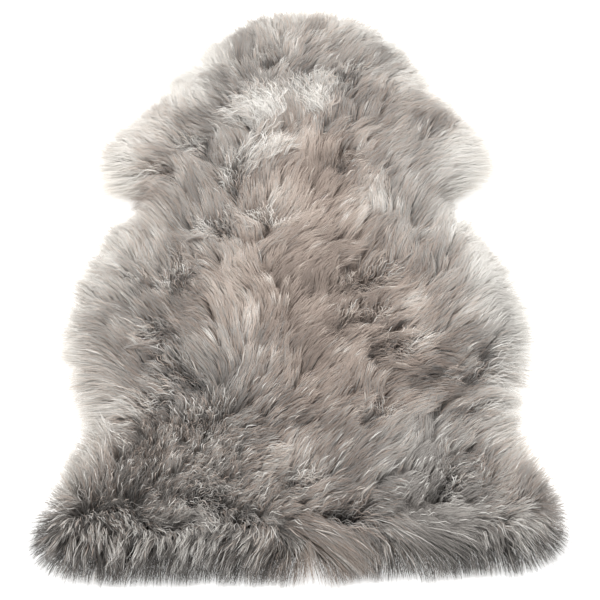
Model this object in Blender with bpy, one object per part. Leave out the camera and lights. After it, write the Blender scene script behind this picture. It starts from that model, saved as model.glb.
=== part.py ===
"""A sheepskin rug: one wool-on hide lying flat, as one solid that reaches as far as the pile does.

Run it with blender --background --python part.py, or from Blender's text editor.

Units are metres and +Z is up. The hide lies on z = 0, its head towards +Y, its hind edge towards
-Y, and the origin under the middle of the rug. The solid is the outside of the wool: a flat
underside, a rim where the wool spreads widest a little above the floor, a rounded shoulder, and a
lumpy top with soft troughs where the locks part.
"""

from collections import namedtuple

import bmesh
import bpy
import numpy as np
from mathutils import Vector
from mathutils.geometry import delaunay_2d_cdt
from mathutils.noise import fractal

# Driving dimensions: the whole length, the height of the wool at the shoulder of the pile and how
# much more it stands in the middle, and the shape of the edge, where the wool spreads widest a
# little above the floor, tucks in below that, and rounds up to its full height inside it.
LENGTH = 0.950
PILE_HEIGHT = 0.050
CREST_RISE = 0.005
CREST_RUN = 0.200
RIM_HEIGHT = 0.016
UNDERSIDE_TUCK = 0.014
SHOULDER_RUN = 0.062
SHOULDER_FULLNESS = 2.4
SHOULDER_STEEPNESS = 0.62

# The outline, from the hind edge to the crown of the head: how far along the rug each place of
# the hide is, and how far the wool reaches from the middle line there, to the left and right.
Place = namedtuple("Place", "name along left right")
OUTLINE = (
    Place("rump", 0.000, 0.120, 0.120),
    Place("thigh", 0.004, 0.245, 0.240),
    Place("heel", 0.026, 0.316, 0.312),
    Place("hock", 0.068, 0.326, 0.325),
    Place("leg", 0.122, 0.303, 0.309),
    Place("waist", 0.196, 0.265, 0.263),
    Place("flank", 0.255, 0.290, 0.284),
    Place("belly", 0.335, 0.309, 0.300),
    Place("rib", 0.430, 0.295, 0.284),
    Place("chest", 0.500, 0.268, 0.248),
    Place("armpit", 0.548, 0.240, 0.222),
    Place("elbow", 0.592, 0.272, 0.246),
    Place("shoulder", 0.645, 0.289, 0.268),
    Place("withers", 0.705, 0.263, 0.251),
    Place("neck", 0.770, 0.203, 0.198),
    Place("cheek", 0.842, 0.158, 0.162),
    Place("brow", 0.897, 0.114, 0.124),
    Place("forehead", 0.924, 0.083, 0.091),
    Place("poll", 0.942, 0.046, 0.053),
)

# The hind edge is cut aslant: its right end lies this much further in than its left, and the
# slant fades out along the legs.
HIND_SLANT = 0.016
SLANT_FADE = 0.130

# Soft troughs where the wool parts: the middle of each from the middle line and along the rug,
# its direction from +X, its length and width, and how deep it dips.
Parting = namedtuple("Parting", "across along turn_deg length width depth")
PARTINGS = (
    Parting(-0.215, 0.082, -4, 0.170, 0.034, 0.010),
    Parting(-0.020, 0.076, 3, 0.210, 0.030, 0.008),
    Parting(0.205, 0.088, 6, 0.180, 0.034, 0.010),
    Parting(0.085, 0.425, 22, 0.070, 0.034, 0.011),
    Parting(0.090, 0.368, 8, 0.055, 0.030, 0.009),
    Parting(-0.145, 0.272, -20, 0.090, 0.036, 0.009),
    Parting(0.238, 0.278, 70, 0.060, 0.030, 0.008),
    Parting(-0.055, 0.520, -35, 0.060, 0.028, 0.008),
    Parting(-0.150, 0.668, 30, 0.070, 0.030, 0.007),
    Parting(-0.045, 0.838, 15, 0.050, 0.028, 0.007),
)

# Lumps of the locks: their size across the top and how high they stand, with smaller lumps upon
# the larger ones, and their size along the rim and how far they push it in and out.
LOCK_SIZE = 0.075
LOCK_RISE = 0.009
LOCK_OCTAVES = 2
RIM_LOCK_SIZE = 0.045
RIM_LOCK_REACH = 0.006
TOP_LAYER, RIM_LAYER = 0.5, 0.0

# How finely the solid is faceted: points round the rim, insets of the rings that round its
# shoulder, the spacing of the points over the rest of the top and how far in they start, the
# rings below the rim, and the steps of the outline's curve between two of its places.
RIM_POINTS = 180
SHOULDER_INSETS = (0.0025, 0.008, 0.017, 0.029)
TOP_SPACING = 0.0195
TOP_INSET = 0.040
UNDERSIDE_STEPS = 2
CURVE_STEPS = 24
WELD = 1e-6


def noise_at(x, y, layer, size, octaves):
    """Smooth noise from about -1 to 1, whose lumps are size across and differ in each layer."""
    return fractal(Vector((x, y, layer)) / size, 1.0, 2.0, octaves)


def smooth_loop(corners, count):
    """Even points along the closed Catmull-Rom curve that runs through the corners."""
    before, here = np.roll(corners, 1, axis=0), corners
    after, beyond = np.roll(corners, -1, axis=0), np.roll(corners, -2, axis=0)
    runs = []
    for t in np.linspace(0.0, 1.0, CURVE_STEPS, endpoint=False):
        runs.append(
            0.5 * (2 * here + (after - before) * t
                   + (2 * before - 5 * here + 4 * after - beyond) * t ** 2
                   + (3 * here - before - 3 * after + beyond) * t ** 3)
        )
    dense = np.stack(runs, axis=1).reshape(-1, 2)
    closed = np.vstack([dense, dense[:1]])
    steps = np.linalg.norm(np.diff(closed, axis=0), axis=1)
    travelled = np.concatenate([[0.0], np.cumsum(steps)])
    wanted = np.linspace(0.0, travelled[-1], count, endpoint=False)
    return np.stack([np.interp(wanted, travelled, closed[:, axis]) for axis in (0, 1)], axis=1)


def outward(loop):
    """The unit direction out of a loop that runs anticlockwise, at each of its points."""
    along = np.roll(loop, -1, axis=0) - np.roll(loop, 1, axis=0)
    out = np.stack([along[:, 1], -along[:, 0]], axis=1)
    return out / np.linalg.norm(out, axis=1, keepdims=True)


def rim_loop():
    """The widest reach of the wool, anticlockwise seen from above, scalloped by its locks."""
    hind = [(0.0, 0.0)]
    right = [(place.right, place.along) for place in OUTLINE]
    crown = [(0.0, LENGTH)]
    left = [(-place.left, place.along) for place in reversed(OUTLINE)]
    corners = np.array(hind + right + crown + left)
    across, along = corners[:, 0], corners[:, 1]
    slant = HIND_SLANT * across / np.ptp(across)
    corners[:, 1] += slant * np.clip(1.0 - along / SLANT_FADE, 0.0, 1.0)
    loop = smooth_loop(corners, RIM_POINTS)
    push = np.array([noise_at(x, y, RIM_LAYER, RIM_LOCK_SIZE, 1) for x, y in loop])
    loop = loop + RIM_LOCK_REACH * push[:, None] * outward(loop)
    middle = (loop.min(axis=0) + loop.max(axis=0)) / 2
    return loop - middle + (0.0, LENGTH / 2)


def rim_distance(points, rim):
    """How far each point lies from the rim's line, as the nearest of its short straight runs."""
    start = rim[None]
    run = np.roll(rim, -1, axis=0)[None] - start
    share = ((points[:, None] - start) * run).sum(-1) / (run ** 2).sum(-1)
    nearest = start + np.clip(share, 0.0, 1.0)[..., None] * run
    return np.linalg.norm(points[:, None] - nearest, axis=2).min(axis=1)


def inside(points, rim):
    """Whether each point lies inside the rim, by how often a line to its right crosses it."""
    after = np.roll(rim, -1, axis=0)
    x, y = points[:, :1], points[:, 1:]
    straddles = (rim[:, 1] > y) != (after[:, 1] > y)
    rise = np.where(after[:, 1] == rim[:, 1], 1.0, after[:, 1] - rim[:, 1])
    crossing = rim[:, 0] + (y - rim[:, 1]) * (after[:, 0] - rim[:, 0]) / rise
    return (straddles & (x < crossing)).sum(axis=1) % 2 == 1


def parting_depth(x, y):
    """How far the troughs lower the top at a place: each is a long round dip."""
    depth = 0.0
    for parting in PARTINGS:
        turn = np.radians(parting.turn_deg)
        dx, dy = x - parting.across, y - parting.along
        lengthwise = (dx * np.cos(turn) + dy * np.sin(turn)) / (parting.length / 2)
        crosswise = (dy * np.cos(turn) - dx * np.sin(turn)) / (parting.width / 2)
        depth += parting.depth * np.exp(-(lengthwise ** 4) - crosswise ** 2)
    return depth


def top_heights(points, inset):
    """The height of the wool: a rounded shoulder up from the rim, then the lumpy top."""
    share = np.clip(inset / SHOULDER_RUN, 0.0, 1.0)
    shoulder = (1.0 - (1.0 - share) ** SHOULDER_FULLNESS) ** SHOULDER_STEEPNESS
    crest = CREST_RISE * np.clip(inset / CREST_RUN, 0.0, 1.0)
    lumps = np.array([noise_at(x, y, TOP_LAYER, LOCK_SIZE, LOCK_OCTAVES) for x, y in points])
    dips = np.array([parting_depth(x, y) for x, y in points])
    rise = PILE_HEIGHT - RIM_HEIGHT + crest + LOCK_RISE * lumps - dips
    return RIM_HEIGHT + shoulder * rise


def top_points(rim):
    """The points of the top seen from above: the rim, rings just inside it, and a field."""
    rings = [rim] + [rim - inset * outward(rim) for inset in SHOULDER_INSETS]
    low, high = rim.min(axis=0), rim.max(axis=0)
    rows = np.arange(low[1], high[1], TOP_SPACING * np.sqrt(0.75))
    columns = np.arange(low[0], high[0], TOP_SPACING)
    field = np.array([(x + TOP_SPACING / 2 * (n % 2), y) for n, y in enumerate(rows) for x in columns])
    field = field[inside(field, rim)]
    field = field[rim_distance(field, rim) > TOP_INSET]
    return np.vstack(rings + [field])


def wool_solid(name):
    """The closed mesh: the triangulated top, the tucked-under rim and the flat underside."""
    rim = rim_loop()
    outline = [list(range(RIM_POINTS))]
    corners, _, faces, _, _, _ = delaunay_2d_cdt(
        [Vector(point) for point in top_points(rim)], [], outline, 1, WELD
    )
    points = np.array(corners)
    heights = top_heights(points, rim_distance(points, rim))

    mesh = bmesh.new()
    top = [mesh.verts.new((x, y - LENGTH / 2, z)) for (x, y), z in zip(points, heights)]
    for face in faces:
        mesh.faces.new([top[n] for n in face])

    ring = top[:RIM_POINTS]
    for turn in np.linspace(0.0, np.pi / 2, UNDERSIDE_STEPS + 1)[1:]:
        lower = rim - UNDERSIDE_TUCK * (1.0 - np.cos(turn)) * outward(rim)
        height = RIM_HEIGHT * (1.0 - np.sin(turn))
        below = [mesh.verts.new((x, y - LENGTH / 2, height)) for x, y in lower]
        for n in range(RIM_POINTS):
            after = (n + 1) % RIM_POINTS
            mesh.faces.new((ring[n], below[n], below[after], ring[after]))
        ring = below
    mesh.faces.new(ring[::-1])
    bmesh.ops.recalc_face_normals(mesh, faces=mesh.faces)

    data = bpy.data.meshes.new(name)
    mesh.to_mesh(data)
    mesh.free()
    data.shade_smooth()
    data.set_sharp_from_angle(angle=np.radians(60))
    return data


def wool_material():
    """Soft grey-brown wool: rough, with a pale sheen at grazing angles."""
    material = bpy.data.materials.new("wool")
    material.use_nodes = True
    shader = material.node_tree.nodes["Principled BSDF"]
    shader.inputs["Base Color"].default_value = (0.42, 0.37, 0.33, 1.0)
    shader.inputs["Roughness"].default_value = 0.9
    shader.inputs["Metallic"].default_value = 0.0
    shader.inputs["Sheen Weight"].default_value = 0.3
    return material


def main():
    """Clears the scene and makes the sheepskin."""
    for old in list(bpy.data.objects):
        bpy.data.objects.remove(old, do_unlink=True)
    mesh = wool_solid("sheepskin")
    mesh.materials.append(wool_material())
    sheepskin = bpy.data.objects.new("sheepskin", mesh)
    bpy.context.collection.objects.link(sheepskin)


main()
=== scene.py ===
"""The looks of a long-wool sheepskin rug: a suede-backed hide, its dense underwool, and the fleece.

The rug lies flat with its head towards +Y and its hind edge towards -Y, in metres and +Z up. The
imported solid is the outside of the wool, so every place and height here is read from it: the hide
lies inside its rim, the underwool fills the lower part of its depth, and each lock of the fleece
rises from the underwool, bends over the way it is combed and ends just under the solid's top.

A strand is a narrow ribbon along a quadratic curve with three points: its root, a crest above the
root, and its tip. The hide is divided into three sizes of cells, for tufts, locks and wisps, and a
strand's tip is drawn towards those of its cells, so that the wool gathers into points.
"""

from __future__ import annotations

import logging
import math
from dataclasses import dataclass, field
from enum import Enum
from functools import reduce

import bpy
import numpy as np
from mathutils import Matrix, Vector
from mathutils.bvhtree import BVHTree

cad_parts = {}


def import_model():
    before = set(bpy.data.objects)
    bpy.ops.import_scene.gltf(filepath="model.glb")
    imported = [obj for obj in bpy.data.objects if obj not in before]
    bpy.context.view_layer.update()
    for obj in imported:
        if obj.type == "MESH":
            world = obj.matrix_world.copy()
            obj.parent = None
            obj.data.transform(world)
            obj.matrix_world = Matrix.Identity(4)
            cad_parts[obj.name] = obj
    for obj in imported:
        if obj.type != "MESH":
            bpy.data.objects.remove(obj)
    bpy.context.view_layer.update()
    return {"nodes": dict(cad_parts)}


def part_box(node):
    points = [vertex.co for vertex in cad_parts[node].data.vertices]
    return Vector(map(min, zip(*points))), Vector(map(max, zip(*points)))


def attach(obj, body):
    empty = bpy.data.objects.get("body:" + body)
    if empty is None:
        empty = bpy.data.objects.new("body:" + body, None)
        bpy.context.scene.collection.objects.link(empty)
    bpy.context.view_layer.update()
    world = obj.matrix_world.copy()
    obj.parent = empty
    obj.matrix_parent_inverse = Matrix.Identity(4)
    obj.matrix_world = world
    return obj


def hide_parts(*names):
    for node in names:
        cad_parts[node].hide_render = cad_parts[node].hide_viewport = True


log = logging.getLogger("sheepskin")

Array = np.ndarray
Colour = tuple[float, float, float]

NODE = "sheepskin"
BODY = "root"
STRAND_MAP = "OFBake"


# ---- Fields over the hide ----


def smoothstep(value: Array) -> Array:
    """Returns 0 below 0, 1 above 1, and the smooth cubic 3t^2 - 2t^3 between.

    Args:
        value: Any array.

    Returns:
        An array of the same shape.
    """
    t = np.clip(value, 0.0, 1.0)
    return t * t * (3.0 - 2.0 * t)


def mix(low: Array | float, high: Array | float, share: Array | float) -> Array:
    """Returns low where share is 0, high where it is 1, and a straight blend between."""
    return low + (high - low) * share


def rise(value: Array, start: float, run: float) -> Array:
    """Rises from 0 to 1 along a smoothstep.

    Args:
        value: Any array.
        start: The value at which the rise starts.
        run: How much further on it ends; below 0, it goes the other way.

    Returns:
        An array of the same shape.
    """
    return smoothstep((value - start) / run)


def unit(vectors: Array) -> Array:
    """Returns the vectors in the last axis scaled to length 1."""
    return vectors / np.maximum(np.linalg.norm(vectors, axis=-1, keepdims=True), 1e-9)


def turned(ways: Array, angle: Array) -> Array:
    """Returns directions seen from above, each turned anticlockwise by its angle."""
    x, y, cos, sin = ways[..., 0], ways[..., 1], np.cos(angle), np.sin(angle)
    return np.stack([x * cos - y * sin, x * sin + y * cos], axis=-1)


@dataclass(frozen=True)
class Ripple:
    """Smooth random field round 0: random numbers on a square lattice, blended between.

    Attributes:
        size: Spacing of the lattice, which is about the size of one lump.
        seed: Which random numbers it holds.
        amount: About the most by which it differs from 0.
        reach: Half the side of the square that the lattice covers.
    """

    size: float
    seed: int
    amount: float = 1.0
    reach: float = 0.7

    def at(self, x: Array, y: Array) -> Array:
        """Evaluates the field.

        Args:
            x: Places across the rug.
            y: Places along the rug.

        Returns:
            The field at each place, by a smoothstep blend of the four nearest lattice numbers.
        """
        count = int(2 * self.reach / self.size) + 3
        lattice = np.random.default_rng(self.seed).uniform(-1.0, 1.0, (count, count))
        u, v = (x + self.reach) / self.size, (y + self.reach) / self.size
        i = np.clip(np.floor(u).astype(int), 0, count - 2)
        j = np.clip(np.floor(v).astype(int), 0, count - 2)
        a, b = smoothstep(u - i), smoothstep(v - j)
        low = mix(lattice[i, j], lattice[i + 1, j], a)
        high = mix(lattice[i, j + 1], lattice[i + 1, j + 1], a)
        return self.amount * (1.5 * mix(low, high, b))


@dataclass
class WoolEnvelope:
    """The outside of the wool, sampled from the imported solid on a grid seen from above.

    Attributes:
        solid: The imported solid.
        cell: Spacing of the grid.
        margin: How far the grid runs past the solid.
        blur: How many times the distance field is averaged with its neighbours.
        round_off: How many cells the outward direction turns over at a corner.
        low: The grid's corner with the lowest x and y.
        height: The solid's height at each grid point.
        inset: How far in from the rim each grid point lies, below 0 outside it.
        outward: The direction out of the rug at each grid point, as a unit vector.
    """

    solid: bpy.types.Object
    cell: float = 0.004
    margin: float = 0.060
    blur: int = 3
    round_off: int = 17
    low: Array = field(init=False)
    height: Array = field(init=False)
    inset: Array = field(init=False)
    outward: Array = field(init=False)

    def __post_init__(self) -> None:
        """Casts a ray down at each grid point, and works out each point's distance from the rim."""
        low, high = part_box(NODE)
        self.low = np.array(low)[:2] - self.margin
        counts = np.ceil((np.array(high)[:2] + self.margin - self.low) / self.cell).astype(int) + 1
        x = self.low[0] + self.cell * np.arange(counts[0])
        y = self.low[1] + self.cell * np.arange(counts[1])
        tree = BVHTree.FromObject(self.solid, bpy.context.evaluated_depsgraph_get())
        down, start = Vector((0.0, 0.0, -1.0)), high.z + 0.1
        hits = [[tree.ray_cast(Vector((a, b, start)), down)[0] for b in y] for a in x]
        self.height = np.array([[0.0 if h is None else h.z for h in row] for row in hits])
        self.inset = self.rim_distance(np.array([[h is not None for h in row] for row in hits]))
        bell = np.hanning(self.round_off)
        broad = self.inset
        for axis in (0, 1):
            broad = np.apply_along_axis(np.convolve, axis, broad, bell / bell.sum(), mode="same")
        self.outward = -unit(np.stack(np.gradient(broad, self.cell), axis=-1))

    def rim_distance(self, within: Array) -> Array:
        """Measures how far each grid point lies from the rim, above 0 inside it.

        Args:
            within: Which grid points lie inside the rim.

        Returns:
            The distance to the nearest place where the grid passes the rim, smoothed.
        """
        places = self.low + self.cell * np.stack(np.indices(within.shape), axis=-1)
        edges = []
        for axis in (0, 1):
            near, far = np.delete(places, -1, axis), np.delete(places, 0, axis)
            changes = np.diff(within.astype(int), axis=axis) != 0
            edges.append((near[changes] + far[changes]) / 2)
        rim = np.concatenate(edges)
        flat = places.reshape(-1, 2)
        nearest = [
            np.linalg.norm(part[:, None] - rim[None], axis=2).min(axis=1)
            for part in np.array_split(flat, 24)
        ]
        distance = np.concatenate(nearest).reshape(within.shape) * np.where(within, 1.0, -1.0)
        for _ in range(self.blur):
            ring = np.pad(distance, 1, mode="edge")
            distance = (
                2 * distance + ring[:-2, 1:-1] + ring[2:, 1:-1] + ring[1:-1, :-2] + ring[1:-1, 2:]
            ) / 6
        return distance

    def sample(self, grid: Array, x: Array, y: Array) -> Array:
        """Reads a grid between its points.

        Args:
            grid: One of this envelope's grids.
            x: Places across the rug.
            y: Places along the rug.

        Returns:
            The grid's value at each place, blended from the four nearest points.
        """
        u = np.clip((x - self.low[0]) / self.cell, 0, grid.shape[0] - 1.001)
        v = np.clip((y - self.low[1]) / self.cell, 0, grid.shape[1] - 1.001)
        i, j = u.astype(int), v.astype(int)
        a, b = u - i, v - j
        if grid.ndim == 3:
            a, b = a[..., None], b[..., None]
        near = mix(grid[i, j], grid[i + 1, j], a)
        return mix(near, mix(grid[i, j + 1], grid[i + 1, j + 1], a), b)

    def held_in(self, places: Array, spill: float) -> Array:
        """Moves places that lie too far past the rim straight back towards it.

        Args:
            places: Places seen from above, as rows.
            spill: How far past the rim a place may lie.

        Returns:
            The places, each at most that far past the rim.
        """
        excess = -spill - self.sample(self.inset, places[:, 0], places[:, 1])
        back = self.sample(self.outward, places[:, 0], places[:, 1])
        return places - back * np.maximum(excess, 0.0)[:, None]


# ---- Finishes ----


class Nodes:
    """A short way to add and link a material's nodes."""

    def __init__(self, name: str) -> None:
        """Makes the material, with its Principled shader and output only.

        Args:
            name: The material's name.
        """
        self.material = bpy.data.materials.new(name)
        self.material.use_nodes = True
        self.tree = self.material.node_tree
        self.shader = self.tree.nodes["Principled BSDF"]

    def add(self, kind: str, **settings: object) -> bpy.types.Node:
        """Adds a node.

        Args:
            kind: Its type, without the ShaderNode in front.
            **settings: Properties of the node to set.

        Returns:
            The node.
        """
        node = self.tree.nodes.new("ShaderNode" + kind)
        for key, value in settings.items():
            setattr(node, key, value)
        return node

    def link(self, source: bpy.types.NodeSocket, target: bpy.types.NodeSocket) -> None:
        """Links two sockets."""
        self.tree.links.new(source, target)

    def ramp(
        self, source: bpy.types.NodeSocket, stops: tuple[tuple[float, Colour], ...]
    ) -> bpy.types.NodeSocket:
        """Adds a colour ramp.

        Args:
            source: What drives the ramp, from 0 to 1.
            stops: Each stop's place and colour.

        Returns:
            The ramp's colour socket.
        """
        node = self.add("ValToRGB")
        elements = node.color_ramp.elements
        elements.remove(elements[1])
        elements[0].position = stops[0][0]
        for place, _ in stops[1:]:
            elements.new(place)
        for element, (_, colour) in zip(elements, stops):
            element.color = (*colour, 1.0)
        self.link(source, node.inputs["Fac"])
        return node.outputs["Color"]

    def noise(self, size: float, detail: float, twist: float = 0.0) -> bpy.types.NodeSocket:
        """Adds noise on the piece's Object coordinates.

        Args:
            size: Spacing of its lumps.
            detail: How many finer layers it has.
            twist: How far it is distorted.

        Returns:
            The noise, from 0 to 1.
        """
        place, node = self.add("TexCoord"), self.add("TexNoise")
        self.link(place.outputs["Object"], node.inputs["Vector"])
        for key, value in (("Scale", 1.0 / size), ("Detail", detail), ("Distortion", twist)):
            node.inputs[key].default_value = value
        return node.outputs["Fac"]

    def times(
        self, first: bpy.types.NodeSocket, second: bpy.types.NodeSocket
    ) -> bpy.types.NodeSocket:
        """Multiplies two colours.

        Args:
            first: A colour.
            second: Another colour.

        Returns:
            Their product.
        """
        node = self.add("VectorMath", operation="MULTIPLY")
        self.link(first, node.inputs[0])
        self.link(second, node.inputs[1])
        return node.outputs[0]

    def press(self, height: bpy.types.NodeSocket, depth: float, strength: float = 1.0) -> None:
        """Presses a pattern into the surface.

        Args:
            height: The pattern, from 0 to 1.
            depth: Its depth.
            strength: Share of that depth that shows.
        """
        node = self.add("Bump")
        node.inputs["Distance"].default_value = depth
        node.inputs["Strength"].default_value = strength
        self.link(height, node.inputs["Height"])
        self.link(node.outputs["Normal"], self.shader.inputs["Normal"])

    def roughen(self, source: bpy.types.NodeSocket, limits: tuple[float, float]) -> None:
        """Sets the roughness.

        Args:
            source: What drives it, from 0 to 1.
            limits: The roughness where the source is 0 and where it is 1.
        """
        node = self.add("MapRange")
        node.inputs["To Min"].default_value, node.inputs["To Max"].default_value = limits
        self.link(source, node.inputs["Value"])
        self.link(node.outputs["Result"], self.shader.inputs["Roughness"])

    def set(self, values: dict[str, float | tuple[float, ...]]) -> None:
        """Sets the Principled shader's own inputs by name."""
        for key, value in values.items():
            self.shader.inputs[key].default_value = value


class Family(Enum):
    """The two hues of wool, which take the left and right half of the strand map."""

    WARM = 0.0
    COOL = 0.5


@dataclass(frozen=True)
class WoolFinish:
    """Wool whose colour is read from the strand map: shade across it, and up it darker roots that
    are partly painted shade.

    Attributes:
        warm: Tip colours of the warm family, from its darkest to its lightest shade.
        cool: Tip colours of the cool family, likewise.
        depth_shade: How much of the tip's colour is left at places from root to tip: darker towards
            the root, partly the wool's own darker roots and partly painted shade deep in the pile.
        roughness: Roughness at the root and at the tip.
        sheen: Weight of the soft pale sheen.
        sheen_roughness: How widely the sheen spreads.
        shine: Strength of the highlights.
        margin: How far in from the ends of its half of the map each family's end colours lie.
    """

    warm: tuple[Colour, ...] = (
        (0.120, 0.096, 0.082),
        (0.310, 0.250, 0.213),
        (0.500, 0.411, 0.355),
        (0.690, 0.606, 0.541),
        (0.890, 0.853, 0.805),
    )
    cool: tuple[Colour, ...] = (
        (0.103, 0.097, 0.091),
        (0.277, 0.259, 0.242),
        (0.465, 0.438, 0.411),
        (0.670, 0.647, 0.613),
        (0.892, 0.872, 0.835),
    )
    # Darker towards the root: partly the wool's darker roots, partly painted shade deep in the
    # pile.
    depth_shade: tuple[tuple[float, Colour], ...] = (
        (0.00, (0.221, 0.208, 0.1976)),
        (0.25, (0.4524, 0.4376, 0.4228)),
        (0.50, (0.76, 0.75, 0.74)),
        (0.75, (0.94, 0.94, 0.94)),
        (1.00, (1.06, 1.06, 1.06)),
    )
    roughness: tuple[float, float] = (0.85, 0.62)
    sheen: float = 0.25
    sheen_roughness: float = 0.5
    shine: float = 0.35
    margin: float = 0.004

    def colour(self, nodes: Nodes) -> tuple[bpy.types.NodeSocket, bpy.types.NodeSocket]:
        """Adds the nodes that read a piece's strand map.

        Args:
            nodes: The material.

        Returns:
            The colour, and how far each place lies from root to tip.
        """
        read = nodes.add("UVMap", uv_map=STRAND_MAP)
        split = nodes.add("SeparateXYZ")
        nodes.link(read.outputs["UV"], split.inputs[0])
        stops = []
        for family, colours in ((Family.WARM, self.warm), (Family.COOL, self.cool)):
            width = 0.5 / (len(colours) - 1)
            for n, colour in enumerate(colours):
                inwards = self.margin * ((n == 0) - (n == len(colours) - 1))
                stops.append((family.value + n * width + inwards, colour))
        tips = nodes.ramp(split.outputs["X"], tuple(stops))
        # Partly painted shade: the tip's colour is darkened towards the root.
        depth = nodes.ramp(split.outputs["Y"], self.depth_shade)
        return nodes.times(tips, depth), split.outputs["Y"]

    def make(self, name: str) -> bpy.types.Material:
        """Makes the material.

        Args:
            name: The material's name.

        Returns:
            A Principled material that reads the piece's strand map.
        """
        nodes = Nodes(name)
        colour, up = self.colour(nodes)
        nodes.link(colour, nodes.shader.inputs["Base Color"])
        nodes.roughen(up, self.roughness)
        nodes.set({
            "Sheen Weight": self.sheen,
            "Sheen Roughness": self.sheen_roughness,
            "Specular IOR Level": self.shine,
        })
        return nodes.material


@dataclass(frozen=True)
class UnderwoolFinish:
    """The dense wool between the strands: their colour, matted and finely curled, with painted
    shade in the hollows between the curls.

    Attributes:
        wool: The finish of the strands.
        hollow_shade: Share of their colour left between the curls, as painted shade in the hollows.
        curl_size: Spacing of the curls.
        curl_twist: How far the curls are twisted.
        depth: How deep the curls are pressed in.
        roughness: Roughness everywhere.
        shine: Strength of the highlights.
    """

    wool: WoolFinish
    hollow_shade: float = 0.45
    curl_size: float = 0.0032
    curl_twist: float = 1.6
    depth: float = 0.0016
    roughness: float = 0.95
    shine: float = 0.2

    def make(self, name: str) -> bpy.types.Material:
        """Makes the material.

        Args:
            name: The material's name.

        Returns:
            A Principled material that reads the piece's strand map, with painted shade between fine
            curls and their bump, on Object coordinates.
        """
        nodes = Nodes(name)
        colour, _ = self.wool.colour(nodes)
        noise = nodes.noise(self.curl_size, detail=4.0, twist=self.curl_twist)
        # Painted shade: darker in the hollows between the curls.
        curls = nodes.ramp(noise, ((0.36, (self.hollow_shade,) * 3), (0.62, (1.0,) * 3)))
        nodes.link(nodes.times(colour, curls), nodes.shader.inputs["Base Color"])
        nodes.press(noise, self.depth)
        nodes.set({"Roughness": self.roughness, "Specular IOR Level": self.shine})
        return nodes.material


@dataclass(frozen=True)
class SuedeFinish:
    """The bare flesh side of the skin: buffed suede with faint cloudy patches and fine pores.

    Attributes:
        pale: Lightest colour of the suede.
        deep: Darkest colour of the suede.
        cloud_size: Size of the patches.
        pore_size: Spacing of the pores.
        pore_depth: Depth of the pores.
        roughness: Roughness of the deep and of the pale patches.
    """

    pale: Colour = (0.640, 0.545, 0.440)
    deep: Colour = (0.500, 0.405, 0.310)
    cloud_size: float = 0.090
    pore_size: float = 0.0016
    pore_depth: float = 0.0004
    roughness: tuple[float, float] = (0.82, 0.96)

    def make(self, name: str) -> bpy.types.Material:
        """Makes the material.

        Args:
            name: The material's name.

        Returns:
            A Principled material with patches and a fine bump on Object coordinates.
        """
        nodes = Nodes(name)
        cloud = nodes.noise(self.cloud_size, detail=6.0)
        colour = nodes.ramp(cloud, ((0.35, self.deep), (0.65, self.pale)))
        nodes.link(colour, nodes.shader.inputs["Base Color"])
        nodes.press(nodes.noise(self.pore_size, detail=3.0), self.pore_depth, strength=0.5)
        nodes.roughen(cloud, self.roughness)
        return nodes.material


# ---- Meshes ----


def make_piece(
    name: str,
    points: Array,
    faces: Array,
    material: bpy.types.Material,
    corner_map: Array | None = None,
    normals: Array | None = None,
) -> bpy.types.Object:
    """Puts a mesh worked out as arrays into the scene, as a piece that rides on the rug's body.

    Args:
        name: The piece's name.
        points: The vertices, one row each.
        faces: The faces, one row of vertex numbers each, anticlockwise from outside.
        material: What the piece wears.
        corner_map: The strand map's place of each vertex, or None for a piece without one.
        normals: The shading direction at each vertex, or None to follow the faces.

    Returns:
        The new object, at the origin.
    """
    mesh = bpy.data.meshes.new(name)
    corners = faces.shape[1]
    mesh.vertices.add(len(points))
    mesh.vertices.foreach_set("co", points.astype(np.float32).ravel())
    mesh.loops.add(faces.size)
    mesh.loops.foreach_set("vertex_index", faces.astype(np.int32).ravel())
    mesh.polygons.add(len(faces))
    mesh.polygons.foreach_set("loop_start", np.arange(0, faces.size, corners, dtype=np.int32))
    mesh.update(calc_edges=True)
    mesh.shade_smooth()
    if corner_map is not None:
        layer = mesh.uv_layers.new(name=STRAND_MAP)
        layer.uv.foreach_set("vector", corner_map[faces.ravel()].astype(np.float32).ravel())
    if normals is not None:
        mesh.normals_split_custom_set_from_vertices(normals.astype(np.float32))
    mesh.materials.append(material)
    piece = bpy.data.objects.new(name, mesh)
    bpy.context.scene.collection.objects.link(piece)
    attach(piece, BODY)
    return piece


def grid_faces(rows: int, columns: int) -> Array:
    """Quads between neighbouring points of a grid stored row by row.

    Args:
        rows: Number of rows.
        columns: Number of points in a row.

    Returns:
        One row of four point numbers for each quad.
    """
    i, j = np.meshgrid(np.arange(rows - 1), np.arange(columns - 1), indexing="ij")
    first = (i * columns + j).ravel()
    return np.stack([first, first + 1, first + columns + 1, first + columns], axis=1)


# ---- The hide ----


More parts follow.
